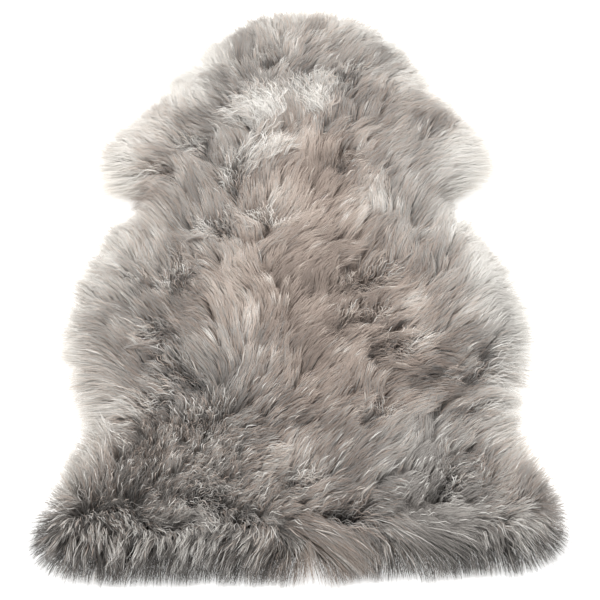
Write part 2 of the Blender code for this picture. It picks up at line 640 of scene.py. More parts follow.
@dataclass
class Footprint:
    """The ground inside a line that keeps a set distance from the wool's rim.

    Attributes:
        envelope: The wool's outside.
        inset: How far in from the wool's rim the line runs.
        rows: Rows of points along the rug.
        columns: Points in a row.
        steps: How many places are tried from the middle line outwards to find the line.
    """

    envelope: WoolEnvelope
    inset: float
    rows: int
    columns: int
    steps: int = 500

    def edges(self) -> tuple[Array, Array, Array]:
        """Finds how far each row runs to either side of the middle line.

        Returns:
            Each row's place along the rug, and its left and right end.
        """
        wool = self.envelope
        y = wool.low[1] + wool.cell * np.arange(wool.inset.shape[1])
        inner = y[wool.sample(wool.inset, 0 * y, y) > self.inset]
        along = mix(inner[0], inner[-1], (1 - np.cos(np.linspace(0, np.pi, self.rows))) / 2)
        across = np.linspace(0.0, -wool.low[0], self.steps)
        ends = []
        for side in (-1.0, 1.0):
            x, y = np.meshgrid(side * across, along)
            outside = wool.sample(wool.inset, x, y) < self.inset
            ends.append(side * across[np.argmax(outside, axis=1)])
        return along, ends[0], ends[1]

    def grid(self) -> tuple[Array, Array]:
        """Spaces points out over the ground, more closely near its edge.

        Returns:
            Their places across and along the rug, each as an array with a row for each row.
        """
        along, left, right = self.edges()
        share = (1 - np.cos(np.linspace(0, np.pi, self.columns))) / 2
        x = mix(left[:, None], right[:, None], share[None])
        return x, along[:, None] + 0 * x


@dataclass
class Hide:
    """The tanned skin: a thin sheet whose outline lies inside the wool's by the edge wool's reach.

    Attributes:
        footprint: Its outline and the grid of its points.
        thickness: Thickness of the skin.
        clearance: How far it lies over the floor.
    """

    footprint: Footprint
    thickness: float = 0.0018
    clearance: float = 0.0004

    def build(self, material: bpy.types.Material) -> bpy.types.Object:
        """Builds the sheet as two layers of one grid, closed by a wall along its edge.

        Args:
            material: The suede finish.

        Returns:
            The piece.
        """
        x, y = self.footprint.grid()
        under = np.stack([x, y, np.full_like(x, self.clearance)], axis=-1).reshape(-1, 3)
        over = under + (0.0, 0.0, self.thickness)
        quads = grid_faces(*x.shape)
        number = np.arange(x.size).reshape(x.shape)
        rim = np.concatenate(
            [number[0, :-1], number[:-1, -1], number[-1, :0:-1], number[:0:-1, 0]]
        )
        after = np.roll(rim, -1)
        wall = np.stack([rim, after, after + x.size, rim + x.size], axis=1)
        faces = np.concatenate([quads[:, ::-1], quads + x.size, wall])
        return make_piece("hide", np.concatenate([under, over]), faces, material)


# ---- How the wool is combed ----


@dataclass(frozen=True)
class Patch:
    """A long patch of the rug.

    Attributes:
        x: Middle, across the rug.
        y: Middle, along the rug.
        turn_deg: Direction of its length, from +X.
        length: Its length.
        width: Its width.
    """

    x: float
    y: float
    turn_deg: float
    length: float
    width: float

    def axes(self) -> tuple[Array, Array]:
        """Returns the unit vectors along its length and its width."""
        cos, sin = math.cos(math.radians(self.turn_deg)), math.sin(math.radians(self.turn_deg))
        return np.array([cos, sin]), np.array([-sin, cos])

    def local(self, x: Array, y: Array) -> tuple[Array, Array]:
        """Measures places from its middle.

        Args:
            x: Places across the rug.
            y: Places along the rug.

        Returns:
            The distances along and across it, in half lengths and half widths.
        """
        (cos, sin), _ = self.axes()
        dx, dy = x - self.x, y - self.y
        along = (dx * cos + dy * sin) / (self.length / 2)
        return along, (dy * cos - dx * sin) / (self.width / 2)


@dataclass(frozen=True)
class Parting(Patch):
    """A line along which the wool falls apart and its roots show.

    Attributes:
        push: How strongly the wool leans away from its line.
    """

    push: float

    def nearness(self, x: Array, y: Array) -> Array:
        """Returns 1 on its line, fading to 0 round it."""
        along, across = self.local(x, y)
        return np.exp(-(along**4) - across**2)

    def lean(self, x: Array, y: Array) -> Array:
        """Works out how the wool leans away from its line.

        Args:
            x: Places across the rug.
            y: Places along the rug.

        Returns:
            A push for each place: to the side of the line that it lies on, and onwards at the ends.
        """
        along, across = self.local(x, y)
        ends, away = self.axes()
        fall = self.push * np.exp(-(along**4) - (across / 1.6) ** 2)
        side = np.tanh(2.0 * across)
        return fall[..., None] * (side[..., None] * away + 0.35 * np.tanh(along)[..., None] * ends)


@dataclass(frozen=True)
class Tuft(Patch):
    """A patch of locks whose tips point along it, and which differ in shade from those round it.

    Attributes:
        shade: How much lighter its wool is, or darker if below 0.
        hold: How far its wool is turned its way, from 0 to 1.
    """

    shade: float
    hold: float

    def nearness(self, x: Array, y: Array) -> Array:
        """Returns 1 in its middle, fading to 0 round it."""
        along, across = self.local(x, y)
        return np.exp(-(along**2) - across**2)


PARTINGS = (
    Parting(0.083, -0.065, 22, 0.075, 0.028, 2.2),
    Parting(0.078, -0.132, 8, 0.060, 0.026, 2.0),
    Parting(-0.048, 0.346, 20, 0.034, 0.018, 1.2),
    Parting(0.075, 0.320, -20, 0.036, 0.018, 1.0),
    Parting(-0.148, 0.177, 25, 0.050, 0.024, 1.5),
    Parting(-0.199, 0.130, 40, 0.036, 0.020, 1.2),
    Parting(-0.091, 0.120, 82, 0.080, 0.022, 1.3),
    Parting(0.061, 0.143, 65, 0.030, 0.018, 1.2),
    Parting(-0.047, 0.033, -40, 0.050, 0.024, 1.6),
    Parting(-0.112, 0.024, 8, 0.050, 0.022, 1.5),
    Parting(-0.212, -0.068, 15, 0.035, 0.020, 1.2),
    Parting(-0.165, -0.066, 70, 0.060, 0.022, 1.5),
    Parting(-0.183, -0.146, 10, 0.046, 0.022, 1.5),
    Parting(-0.162, -0.198, -20, 0.050, 0.024, 1.4),
    Parting(-0.148, -0.223, 5, 0.056, 0.024, 1.5),
    Parting(-0.176, -0.258, 25, 0.036, 0.018, 1.0),
    Parting(-0.119, -0.281, 35, 0.060, 0.024, 1.4),
    Parting(0.228, -0.215, 30, 0.046, 0.034, 2.0),
    Parting(0.252, -0.176, 80, 0.050, 0.022, 1.2),
    Parting(0.112, -0.175, 15, 0.044, 0.022, 1.3),
    Parting(0.183, -0.217, 40, 0.030, 0.016, 0.9),
    Parting(0.222, -0.262, 20, 0.046, 0.018, 0.9),
    Parting(0.095, -0.276, 40, 0.036, 0.020, 1.4),
    Parting(-0.002, -0.366, 0, 0.034, 0.018, 0.7),
    Parting(0.176, -0.369, 55, 0.040, 0.020, 1.4),
    Parting(-0.116, -0.385, -20, 0.060, 0.024, 1.4),
    Parting(-0.259, -0.393, 30, 0.040, 0.022, 1.2),
    Parting(0.054, -0.406, 10, 0.050, 0.020, 1.2),
    Parting(-0.066, -0.406, 0, 0.040, 0.020, 1.2),
    Parting(-0.250, 0.088, 35, 0.060, 0.022, 1.2),
    Parting(0.225, 0.097, -35, 0.060, 0.022, 1.2),
)

TUFTS = (
    Tuft(-0.064, 0.258, 110, 0.044, 0.062, 0.56, 0.7),
    Tuft(0.020, 0.290, 70, 0.060, 0.026, 0.20, 0.6),
    Tuft(0.010, 0.190, 62, 0.060, 0.050, 0.16, 0.5),
    Tuft(-0.202, 0.024, 100, 0.050, 0.022, 0.34, 0.6),
    Tuft(-0.147, 0.040, 100, 0.080, 0.020, 0.22, 0.6),
    Tuft(0.100, 0.040, 88, 0.070, 0.024, 0.30, 0.5),
    Tuft(0.155, 0.030, 65, 0.080, 0.026, 0.26, 0.5),
    Tuft(0.166, -0.089, 76, 0.065, 0.020, 0.46, 0.6),
    Tuft(-0.064, -0.118, 95, 0.080, 0.016, 0.22, 0.5),
    Tuft(0.187, -0.140, 40, 0.070, 0.028, 0.26, 0.5),
    Tuft(-0.107, -0.035, 110, 0.060, 0.018, 0.24, 0.5),
    Tuft(-0.108, -0.136, 100, 0.050, 0.020, 0.20, 0.5),
    Tuft(-0.029, -0.150, 80, 0.060, 0.022, 0.16, 0.5),
    Tuft(-0.058, -0.190, 70, 0.050, 0.024, 0.14, 0.5),
    Tuft(0.078, -0.229, 82, 0.046, 0.014, 0.26, 0.6),
    Tuft(-0.235, -0.246, 188, 0.070, 0.080, 0.12, 0.8),
    Tuft(-0.123, -0.400, 10, 0.040, 0.030, 0.10, 0.4),
    Tuft(-0.080, -0.425, 290, 0.060, 0.050, 0.06, 0.5),
    Tuft(0.213, 0.243, 60, 0.060, 0.050, -0.26, 0.2),
    Tuft(0.131, 0.147, 20, 0.060, 0.040, -0.18, 0.1),
    Tuft(0.176, 0.069, 50, 0.060, 0.040, -0.18, 0.2),
    Tuft(0.208, 0.003, 80, 0.080, 0.040, -0.18, 0.2),
    Tuft(0.097, 0.137, 60, 0.040, 0.024, 0.22, 0.4),
    Tuft(0.152, 0.156, 110, 0.050, 0.018, 0.22, 0.4),
    Tuft(-0.141, 0.097, 95, 0.060, 0.018, 0.22, 0.5),
    Tuft(-0.121, 0.148, 80, 0.060, 0.018, 0.20, 0.4),
    Tuft(-0.057, 0.185, 50, 0.060, 0.040, 0.24, 0.4),
    Tuft(-0.032, 0.130, 70, 0.060, 0.050, 0.14, 0.4),
    Tuft(-0.103, 0.256, 120, 0.060, 0.040, -0.16, 0.2),
    Tuft(-0.175, 0.065, 90, 0.060, 0.050, -0.14, 0.2),
    Tuft(0.170, 0.060, 60, 0.060, 0.050, 0.14, 0.4),
)


@dataclass(frozen=True)
class Wash:
    """A broad patch where the wool is lighter or darker than the rest: by its own tone in some, by
    painted light and shade in others.

    Attributes:
        x: Middle, across the rug.
        y: Middle, along the rug.
        wide: Half its width.
        long: Half its length.
        shade: How much lighter the wool is in its middle, or darker if below 0.
    """

    x: float
    y: float
    wide: float
    long: float
    shade: float

    def at(self, x: Array, y: Array) -> Array:
        """Returns its shade at each place, fading away from its middle."""
        across, along = (x - self.x) / self.wide, (y - self.y) / self.long
        return self.shade * np.exp(-(across**2) - along**2)


# Partly the wool's own tone and partly painted light and shade: the pale patches along the rim are
# painted light, the dark bands in the dip along the hind edge painted shade.
WASHES = (
    Wash(-0.26, 0.17, 0.09, 0.10, 0.12),
    Wash(0.26, 0.17, 0.07, 0.08, 0.44),
    Wash(-0.26, -0.02, 0.05, 0.10, 0.23),
    Wash(0.00, 0.28, 0.12, 0.06, -0.05),
    Wash(0.00, 0.39, 0.11, 0.07, -0.08),
    Wash(0.14, 0.34, 0.05, 0.06, -0.16),
    Wash(0.19, 0.25, 0.06, 0.05, -0.17),
    Wash(-0.14, 0.25, 0.05, 0.04, -0.14),
    Wash(-0.17, 0.33, 0.05, 0.07, 0.14),
    Wash(0.02, -0.06, 0.08, 0.09, -0.09),
    Wash(0.00, 0.07, 0.10, 0.06, 0.18),
    Wash(0.25, 0.00, 0.045, 0.07, 0.42),
    Wash(0.168, -0.17, 0.03, 0.03, 0.25),
    Wash(0.22, -0.17, 0.03, 0.04, -0.10),
    Wash(-0.20, -0.29, 0.07, 0.12, -0.22),
    Wash(-0.01, -0.35, 0.07, 0.05, 0.20),
    Wash(-0.28, -0.43, 0.12, 0.05, -0.01),
    Wash(0.20, -0.30, 0.10, 0.10, -0.19),
    Wash(0.235, -0.265, 0.03, 0.03, -0.16),
    Wash(-0.245, -0.265, 0.03, 0.03, 0.04),
    Wash(0.225, 0.10, 0.03, 0.03, -0.12),
    Wash(-0.15, -0.405, 0.07, 0.02, -0.10),
    Wash(-0.24, 0.10, 0.04, 0.03, -0.12),
    Wash(0.29, -0.43, 0.06, 0.06, 0.36),
    Wash(0.02, 0.21, 0.10, 0.05, 0.12),
    Wash(0.08, 0.47, 0.08, 0.04, -0.14),
    Wash(0.16, 0.30, 0.04, 0.08, -0.08),
    Wash(0.27, 0.10, 0.04, 0.04, -0.12),
    Wash(0.16, -0.440, 0.10, 0.022, -0.13),
    Wash(0.21, -0.08, 0.07, 0.07, 0.08),
    Wash(-0.155, 0.39, 0.045, 0.06, 0.18),
)


@dataclass(frozen=True)
class Bulge:
    """A round patch where something about the wool is raised, fading away round it.

    For a stretch of the rim it is how much further the edge wool reaches, for a whorl how
    strongly the wool leans away from its middle, and for loose curls how thickly they grow.

    Attributes:
        x: Middle, across the rug.
        y: Middle, along the rug.
        size: Half its length.
        extra: The amount in its middle.
    """

    x: float
    y: float
    size: float
    extra: float

    def at(self, x: Array, y: Array) -> Array:
        """Returns the amount at each place."""
        return self.extra * np.exp(-((x - self.x) ** 2 + (y - self.y) ** 2) / self.size**2)


BULGES = (
    Bulge(-0.25, 0.12, 0.08, 0.012),
    Bulge(0.25, 0.12, 0.08, 0.022),
    Bulge(-0.15, 0.32, 0.09, 0.010),
    Bulge(-0.120, 0.330, 0.034, 0.010),
    Bulge(0.15, 0.33, 0.09, 0.010),
    Bulge(0.02, 0.45, 0.09, 0.008),
    Bulge(-0.31, -0.05, 0.16, 0.006),
    Bulge(0.31, -0.05, 0.16, 0.005),
    Bulge(-0.345, -0.43, 0.06, -0.012),
    Bulge(0.345, -0.43, 0.06, -0.018),
    Bulge(-0.31, -0.478, 0.045, 0.014),
    Bulge(0.29, -0.478, 0.045, 0.004),
    Bulge(0.015, -0.440, 0.035, 0.008),
)

WHORLS = (
    Bulge(-0.262, -0.400, 0.055, 2.4),
    Bulge(0.272, -0.392, 0.050, 1.0),
)

RINGLETS = (
    Bulge(-0.058, 0.235, 0.034, 1.0),
    Bulge(0.018, 0.275, 0.026, 0.9),
    Bulge(-0.046, 0.155, 0.022, 0.8),
    Bulge(0.026, 0.232, 0.024, 0.7),
)


@dataclass
class Combing:
    """Which way the wool lies at each place, and how light and how warm it is.

    Attributes:
        envelope: The wool's outside.
        hind_line: Where the wool turns over the hind edge, along the rug.
        hind_bow: How much that line rises towards the sides, per metre squared.
        hind_drop: How much lower it lies right of the middle.
        hind_wave: How it waves.
        hind_turn: Half the width over which the wool turns, left and right of the middle.
        hind_gaps: Where the wool parts more or less there.
        edge_run: How far in from the rim the wool still leans out.
        swirls: Large and small swirls, as turns in radians.
        hips_line: Where the wool starts to curl on the middle line, along the rug.
        hips_slope: How that place moves along the rug for each step to the right.
        hips_wave: How it waves.
        ragged: How ragged the patches of loose curls are.
        middle_shade: How light the wool is away from everything else, from 0 to 1.
        rim_painted_light: Painted light: how much lighter the wool is at the rim.
        rim_fade: How far in from the rim that fades.
        clouds: Broad lighter and darker patches.
        flecks: Small ones, of which a share shows.
        parted_painted_shade: Painted shade: how much darker the wool is where it parts, and again
            in a parting's middle.
        hues: Where the wool is warmer or cooler.
    """

    envelope: WoolEnvelope
    hind_line: float = -0.421
    hind_bow: float = 0.30
    hind_drop: float = 0.017
    hind_wave: Ripple = Ripple(0.06, 11, 0.012)
    hind_turn: tuple[float, float] = (0.0110, 0.0143)
    hind_gaps: Ripple = Ripple(0.055, 12, 0.60)
    edge_run: float = 0.038
    swirls: tuple[Ripple, Ripple] = (Ripple(0.105, 21, 0.28), Ripple(0.036, 22, 0.42))
    hips_line: float = -0.335
    hips_slope: float = -0.50
    hips_wave: Ripple = Ripple(0.09, 41, 0.05)
    ragged: Ripple = Ripple(0.02, 44, 0.10)
    middle_shade: float = 0.445
    rim_painted_light: float = 0.46
    rim_fade: float = 0.040
    clouds: Ripple = Ripple(0.085, 31, 0.10)
    flecks: Ripple = Ripple(0.030, 32)
    parted_painted_shade: float = 0.22
    hues: Ripple = Ripple(0.12, 33, 0.22)

    def above_hind(self, x: Array, y: Array) -> Array:
        """Finds where the wool falls over the hind edge, which is sharper left of the middle.

        Args:
            x: Places across the rug.
            y: Places along the rug.

        Returns:
            0 where it falls over the edge, and 1 ahead of there.
        """
        right = rise(x, -0.06, 0.20)
        line = self.hind_line + self.hind_bow * x**2 + self.hind_wave.at(x, y)
        line = line - self.hind_drop * right
        return smoothstep((y - line) / (2 * mix(*self.hind_turn, right)) + 0.5)

    def hind_parting(self, x: Array, y: Array) -> Array:
        """Works out how the wool parts where it turns over the hind edge.

        Args:
            x: Places across the rug.
            y: Places along the rug.

        Returns:
            How far it is parted, from 0 to 1: in a broken line, most left of the middle, and closed
            towards the corners.
        """
        ahead = self.above_hind(x, y)
        strength = 0.52 - 0.40 * x + self.hind_gaps.at(x, y)
        strength = np.clip(strength, 0.0, 1.0) * (1.0 - rise(np.abs(x), 0.24, 0.05))
        return (4.0 * ahead * (1.0 - ahead)) ** 2 * strength

    def divide(self, y: Array) -> Array:
        """Returns where the wool that leans left meets the wool that leans right."""
        return -0.005 - 0.063 * rise(y, 0.26, -0.12) - 0.170 * rise(y, -0.19, -0.16)

    def main_way(self, x: Array, y: Array, ahead: Array) -> Array:
        """Works out the comb's way before anything disturbs it.

        Args:
            x: Places across the rug.
            y: Places along the rug.
            ahead: 0 where the wool falls over the hind edge, and 1 ahead of there.

        Returns:
            Headwards and away from the divide, most of all at the hips; over the hind edge, down
            and away from the middle.
        """
        lean = 0.75 + 0.60 * rise(y, -0.14, -0.14) - 0.40 * rise(y, 0.24, 0.12)
        combed = lean * np.tanh((x - self.divide(y)) / 0.035)
        rightwards = 0.6 * np.tanh(x / 0.05) + 1.2 * rise(x, 0.10, 0.16)
        falling = mix(-1.5, rightwards, rise(x, -0.01, 0.06))
        return np.stack([mix(falling, combed, ahead), mix(-1.4, 1.0, ahead)], axis=-1)

    def direction(self, x: Array, y: Array) -> Array:
        """Works out the way of the comb.

        Args:
            x: Places across the rug.
            y: Places along the rug.

        Returns:
            A unit direction for each place: the main way, leaning outwards near the rim, turned by
            the swirls, held by the tufts, and pushed apart at the partings and the whorls.
        """
        wool = self.envelope
        near_rim = np.exp(-np.maximum(wool.sample(wool.inset, x, y) - 0.03, 0.0) / self.edge_run)
        ahead = self.above_hind(x, y)
        outward = (mix(0.7, 1.9, ahead) * near_rim)[..., None] * wool.sample(wool.outward, x, y)
        flow = self.main_way(x, y, ahead) + outward
        swirl = sum(ripple.at(x, y) for ripple in self.swirls)
        flow = turned(flow, swirl * mix(0.80, 1.0 - 0.75 * near_rim, ahead))
        for tuft in TUFTS:
            held = (tuft.hold * tuft.nearness(x, y) * mix(0.3, 1.0, ahead))[..., None]
            flow = mix(flow, tuft.axes()[0] * 1.2, held)
        pushed = (mix(0.15, 1.0, ahead) * (1.0 - 0.6 * near_rim))[..., None]
        for parting in PARTINGS:
            flow = flow + parting.lean(x, y) * pushed
        for whorl in WHORLS:
            away = np.stack([x - whorl.x, y - whorl.y], axis=-1)
            flow = flow + whorl.at(x, y)[..., None] * unit(away)
        return unit(flow)

    def holes(self, x: Array, y: Array) -> Array:
        """Returns how deep in one of the partings each place lies, from 0 to 1."""
        return reduce(np.maximum, (parting.nearness(x, y) for parting in PARTINGS))

    def openness(self, x: Array, y: Array) -> Array:
        """Returns how far the wool is parted at each place, from 0 to 1."""
        return np.maximum(self.holes(x, y), 0.8 * self.hind_parting(x, y))

    def curl(self, x: Array, y: Array) -> Array:
        """Works out how tightly the wool curls.

        Args:
            x: Places across the rug.
            y: Places along the rug.

        Returns:
            Its curl, from 0 to 1: most at the hips, where it parts and where it turns over.
        """
        line = self.hips_line + self.hips_slope * np.minimum(x, 0.08) + self.hips_wave.at(x, y)
        ahead = self.above_hind(x, y)
        ridge = np.maximum(0.7 * self.openness(x, y), np.minimum(4.0 * ahead * (1.0 - ahead), 0.9))
        return np.maximum(1.0 - smoothstep((y - line) / 0.12 + 0.5), ridge)

    def velvet(self, x: Array, y: Array) -> Array:
        """Works out where the wool lies evenly instead of gathering in points.

        Args:
            x: Places across the rug.
            y: Places along the rug.

        Returns:
            How evenly it lies, from 0 to 1: most towards the head and on the right.
        """
        even = np.minimum(0.70 + 0.10 * rise(y, 0.02, 0.14) + 0.25 * rise(x, 0.08, 0.08), 1.0)
        even = even * self.above_hind(x, y)
        return even * (1.0 - self.curl(x, y)) * (1.0 - 0.8 * self.ringlets(x, y))

    def ringlets(self, x: Array, y: Array) -> Array:
        """Returns how far loose curls cover the wool at each place, from 0 to 1."""
        found = reduce(np.maximum, (patch.at(x, y) for patch in RINGLETS))
        return rise(found + self.ragged.at(x, y), 0.30, 0.30)

    def length(self, x: Array, y: Array) -> Array:
        """Returns how far the wool lies over, as a share: it stands up more where it curls."""
        return mix(1.15 + 0.30 * self.velvet(x, y), 0.62, self.curl(x, y))

    def shade(self, x: Array, y: Array) -> Array:
        """Works out how light the wool is.

        Args:
            x: Places across the rug.
            y: Places along the rug.

        Returns:
            Its shade, from 0 to 1: painted light at the rim and towards the head, and painted shade
            where it parts, with the clouds, the flecks, the tufts and the washes added.
        """
        wool = self.envelope
        # Painted light: a little lighter towards the head, and much lighter along the rim but not
        # at the hind edge.
        rim = np.exp(-np.maximum(wool.sample(wool.inset, x, y), 0.0) / self.rim_fade)
        shade = self.middle_shade + 0.03 * rise(y, -0.48, 0.96)
        shade = shade + self.rim_painted_light * (rim * rise(y, -0.40, 0.12)) + self.clouds.at(x, y)
        shade = shade + (0.07 + 0.04 * self.velvet(x, y)) * self.flecks.at(x, y)
        for tuft in TUFTS:
            shade = shade + tuft.shade * tuft.nearness(x, y)
        for wash in WASHES:
            shade = shade + wash.at(x, y)
        # Painted shade where the wool parts, deepest in a parting's middle.
        parted = self.openness(x, y)
        return shade - self.parted_painted_shade * parted - self.parted_painted_shade * self.holes(x, y) ** 3

    def warmth(self, x: Array, y: Array) -> Array:
        """Returns the chance that a strand is of the warm family at each place."""
        centre = np.exp(-((x / 0.17) ** 2) - ((y + 0.04) / 0.34) ** 2)
        return np.clip(0.12 + 0.80 * centre + self.hues.at(x, y), 0.0, 1.0)


# ---- The underwool ----


def strand_tone(shade: Array, warm: Array) -> Array:
    """Works out the strand map's place across for a shade of wool.

    Args:
        shade: How light the wool is, from 0 to 1.
        warm: Whether it is of the warm family.

    Returns:
        The place within its family's half of the map.
    """
    family = np.where(warm, Family.WARM.value, Family.COOL.value)
    return family + 0.010 + 0.480 * np.clip(shade, 0.0, 1.0)


@dataclass
class Underwool:
    """The matted wool that fills the space between the strands, up to below their tips.

    Attributes:
        footprint: Its outline and the grid of its points.
        combing: Where the wool parts, and its shades.
        share: Its height as a share of the wool's.
        parted_share: The same in a parting.
        shoulder: How far in from its edge it reaches its full height.
        lumps: Its unevenness, the size of a lock.
        skin: Height of the skin's top.
        shaded: How much darker it is than the strands.
    """

    footprint: Footprint
    combing: Combing
    share: float = 0.66
    parted_share: float = 0.20
    shoulder: float = 0.034
    lumps: Ripple = Ripple(0.013, 71, 0.09)
    skin: float = 0.0024
    shaded: float = 0.04

    def height(self, x: Array, y: Array) -> Array:
        """Works out the height of its top.

        Args:
            x: Places across the rug.
            y: Places along the rug.

        Returns:
            A share of the wool's height, less where the wool parts, which falls to the skin at
            its own edge.
        """
        wool = self.footprint.envelope
        full = rise(wool.sample(wool.inset, x, y), self.footprint.inset, self.shoulder)
        share = mix(self.share, self.parted_share, self.combing.openness(x, y))
        top = wool.sample(wool.height, x, y) * share * (1.0 + self.lumps.at(x, y))
        return self.skin + top * full

    def build(self, material: bpy.types.Material) -> bpy.types.Object:
        """Builds its lumpy top, coloured like the strands half way up with their painted root
        shade, and painted darker in partings as shade.

        Args:
            material: The underwool finish.

        Returns:
            The piece.
        """
        x, y = self.footprint.grid()
        points = np.stack([x, y, self.height(x, y)], axis=-1).reshape(-1, 3)
        comb = self.combing
        warm = comb.warmth(x, y) > 0.5
        # Place up the strand map: painted shade, darker where the wool parts and lighter where it
        # lies evenly.
        depth = 0.56 + 0.14 * comb.velvet(x, y) - 0.50 * comb.openness(x, y)
        tone = strand_tone(comb.shade(x, y) - self.shaded, warm)
        places = np.stack([tone, depth], axis=-1).reshape(-1, 2)
        return make_piece("underwool", points, grid_faces(*x.shape), material, places)


# ---- The fleece ----


@dataclass
class Cells:
    """Cells on a jittered lattice: each place belongs to its nearest cell.

    Attributes:
        size: Spacing of the cells.
        seed: Which random places and numbers they have.
        squeeze: How many times as narrow as its size each cell is; it is as many times as long.
        reach: Half the side of the square they cover.
        centres: The cells' middles, before the squeeze.
        draws: Eight random numbers from -1 to 1 for each cell.
    """

    size: float
    seed: int
    squeeze: float = 1.25
    reach: float = 0.80
    centres: Array = field(init=False)
    draws: Array = field(init=False)

    def __post_init__(self) -> None:
        """Draws the cells' centres and eight random numbers for each."""
        count = int(2 * self.reach / self.size) + 2
        rng = np.random.default_rng(self.seed)
        lattice = np.stack(np.meshgrid(*(np.arange(count),) * 2, indexing="ij"), axis=-1)
        self.centres = (lattice + rng.uniform(0.08, 0.92, lattice.shape)) * self.size - self.reach
        self.draws = rng.uniform(-1.0, 1.0, (count, count, 8))

    def nearest(self, places: Array) -> tuple[Array, Array]:
        """Finds each place's cell among the nine round it.

        Args:
            places: Places on the rug, as rows.

        Returns:
            The centre of each place's cell, and its random numbers.
        """
        stretch = np.array([self.squeeze, 1.0 / self.squeeze])
        places = places * stretch
        home = np.floor((places + self.reach) / self.size).astype(int)
        best = np.full(len(places), np.inf)
        chosen = home.copy()
        for step in np.ndindex(3, 3):
            cell = np.clip(home + step - np.array([1, 1]), 0, len(self.centres) - 1)
            gap = np.linalg.norm(self.centres[cell[:, 0], cell[:, 1]] - places, axis=1)
            closer = gap < best
            best = np.where(closer, gap, best)
            chosen = np.where(closer[:, None], cell, chosen)
        i, j = chosen.T
        return self.centres[i, j] / stretch, self.draws[i, j]


@dataclass(frozen=True)
class Scatter:
    """How far the members of one level of the wool differ at random.

    The levels are tufts, the locks that make up a tuft, the wisps that make up a lock, and the
    strands that make up a wisp.

    Attributes:
        turn: Which way they lie, in radians.
        front_turn: How many times as far they turn along the hind edge.
        reach: How far they reach, as a share.
        level: How high they lie, as a share of the wool's height.
        shade: How light they are.
    """

    turn: float
    front_turn: float
    reach: float
    level: float
    shade: float

    def of(self, draws: Array, front: Array) -> Array:
        """Works out the members' differences.

        Args:
            draws: Rows of random numbers between -1 and 1.
            front: 1 along the hind edge, fading to 0 ahead of it.

        Returns:
            The differences in turn, reach, level and shade, as rows.
        """
        parts = draws[:, :4] * (self.turn, self.reach, self.level, self.shade)
        parts[:, 0] *= mix(1.0, self.front_turn, front)
        return parts


@dataclass(frozen=True)
class Contrast:
    """How the shades of strands that grow side by side differ.

    Attributes:
        lead: Painted light and shade: how much lighter a strand is for each cell by which it leads
            its tuft, so each tuft is lit at its end and shaded at its base.
        front: How many times as far shades are scattered along the hind edge.
        front_wisps: How far wisps differ there besides.
        front_strands: How far strands differ there besides.
        front_shift: How much lighter all of them are there.
        shadow: How much darker a tip is there on the floor, and high up.
        shadow_height: How high up.
        pale_locks: How much lighter the rare pale locks are.
        pale_lock_from: The random number past which a lock is pale.
        dark_locks: How much darker the rare dark locks are.
        dark_lock_from: The random number past which a lock is dark.
        velvet: How much darker the wool is where it gathers least.
        curl: How much darker it is where it curls most.
        pale_wisps: How much lighter the rare pale wisps are.
        pale_wisp_from: The random number past which a wisp is pale.
    """

    lead: float = 0.10
    front: float = 1.55
    front_wisps: float = 0.68
    front_strands: float = 0.36
    front_shift: float = -0.06
    shadow: tuple[float, float] = (0.74, 0.20)
    shadow_height: float = 0.022
    pale_locks: float = 0.18
    pale_lock_from: float = 0.93
    dark_locks: float = 0.14
    dark_lock_from: float = 0.90
    velvet: float = 0.12
    curl: float = 0.03
    pale_wisps: float = 0.40
    pale_wisp_from: float = 0.93


class Where(Enum):
    """The parts of the rug that a kind of strand grows on."""

    EVERYWHERE = "everywhere"
    OUTSIDE_PARTINGS = "outside partings"
    PARTINGS = "partings"
    RIM = "rim"
    HIPS = "hips"
    RINGLETS = "ringlets"


@dataclass(frozen=True)
class StrandStyle:
    """One kind of strand: its pieces, where it grows, and how it is shaped.

    Attributes:
        name: What its pieces' names start with.
        sections: Sections along each strand, for each piece from the hind edge to the head.
        seed: Which random numbers it draws.
        where: Which parts of the rug it grows on.
        width: Its width near its root.
        rim_width: Share of that width near the skin's edge, where it is finer.
        spacing: Distance between roots where they are densest, which is near the skin's edge.
        inner_share: Share of that density away from the edge.
        reach: How far its tip lies from its root, seen from above.
        gather: How far its tip is drawn to its wisp's tip.
        front_gather: The same along the hind edge.
        lock_gather: How far its tip is then drawn to its lock's tip.
        tuft_gather: How far its tip is then drawn to its tuft's tip.
        frizz: Random spread of its tip.
        roll: How far it may be turned about itself, in radians.
        crimp: Height of its waves.
        wave: Length of one wave.
        wander: How far its way may differ from the comb's, in radians.
        level: How high its tip lies, as a share of the wool's height.
        lighter: How much lighter it is than the wool round it.
        fan_deg: How far its shading turns to either side of its middle.
    """

    name: str
    sections: tuple[int, ...]
    seed: int
    where: Where = Where.EVERYWHERE
    width: float = 0.00050
    rim_width: float = 0.80
    spacing: float = 0.00108
    inner_share: float = 0.29
    reach: float = 0.030
    gather: float = 0.38
    front_gather: float = 0.95
    lock_gather: float = 0.22
    tuft_gather: float = 0.28
    frizz: float = 0.0042
    roll: float = 0.25
    crimp: float = 0.0006
    wave: float = 0.017
    wander: float = 0.0
    level: float = 0.84
    lighter: float = 0.0
    fan_deg: float = 28.0


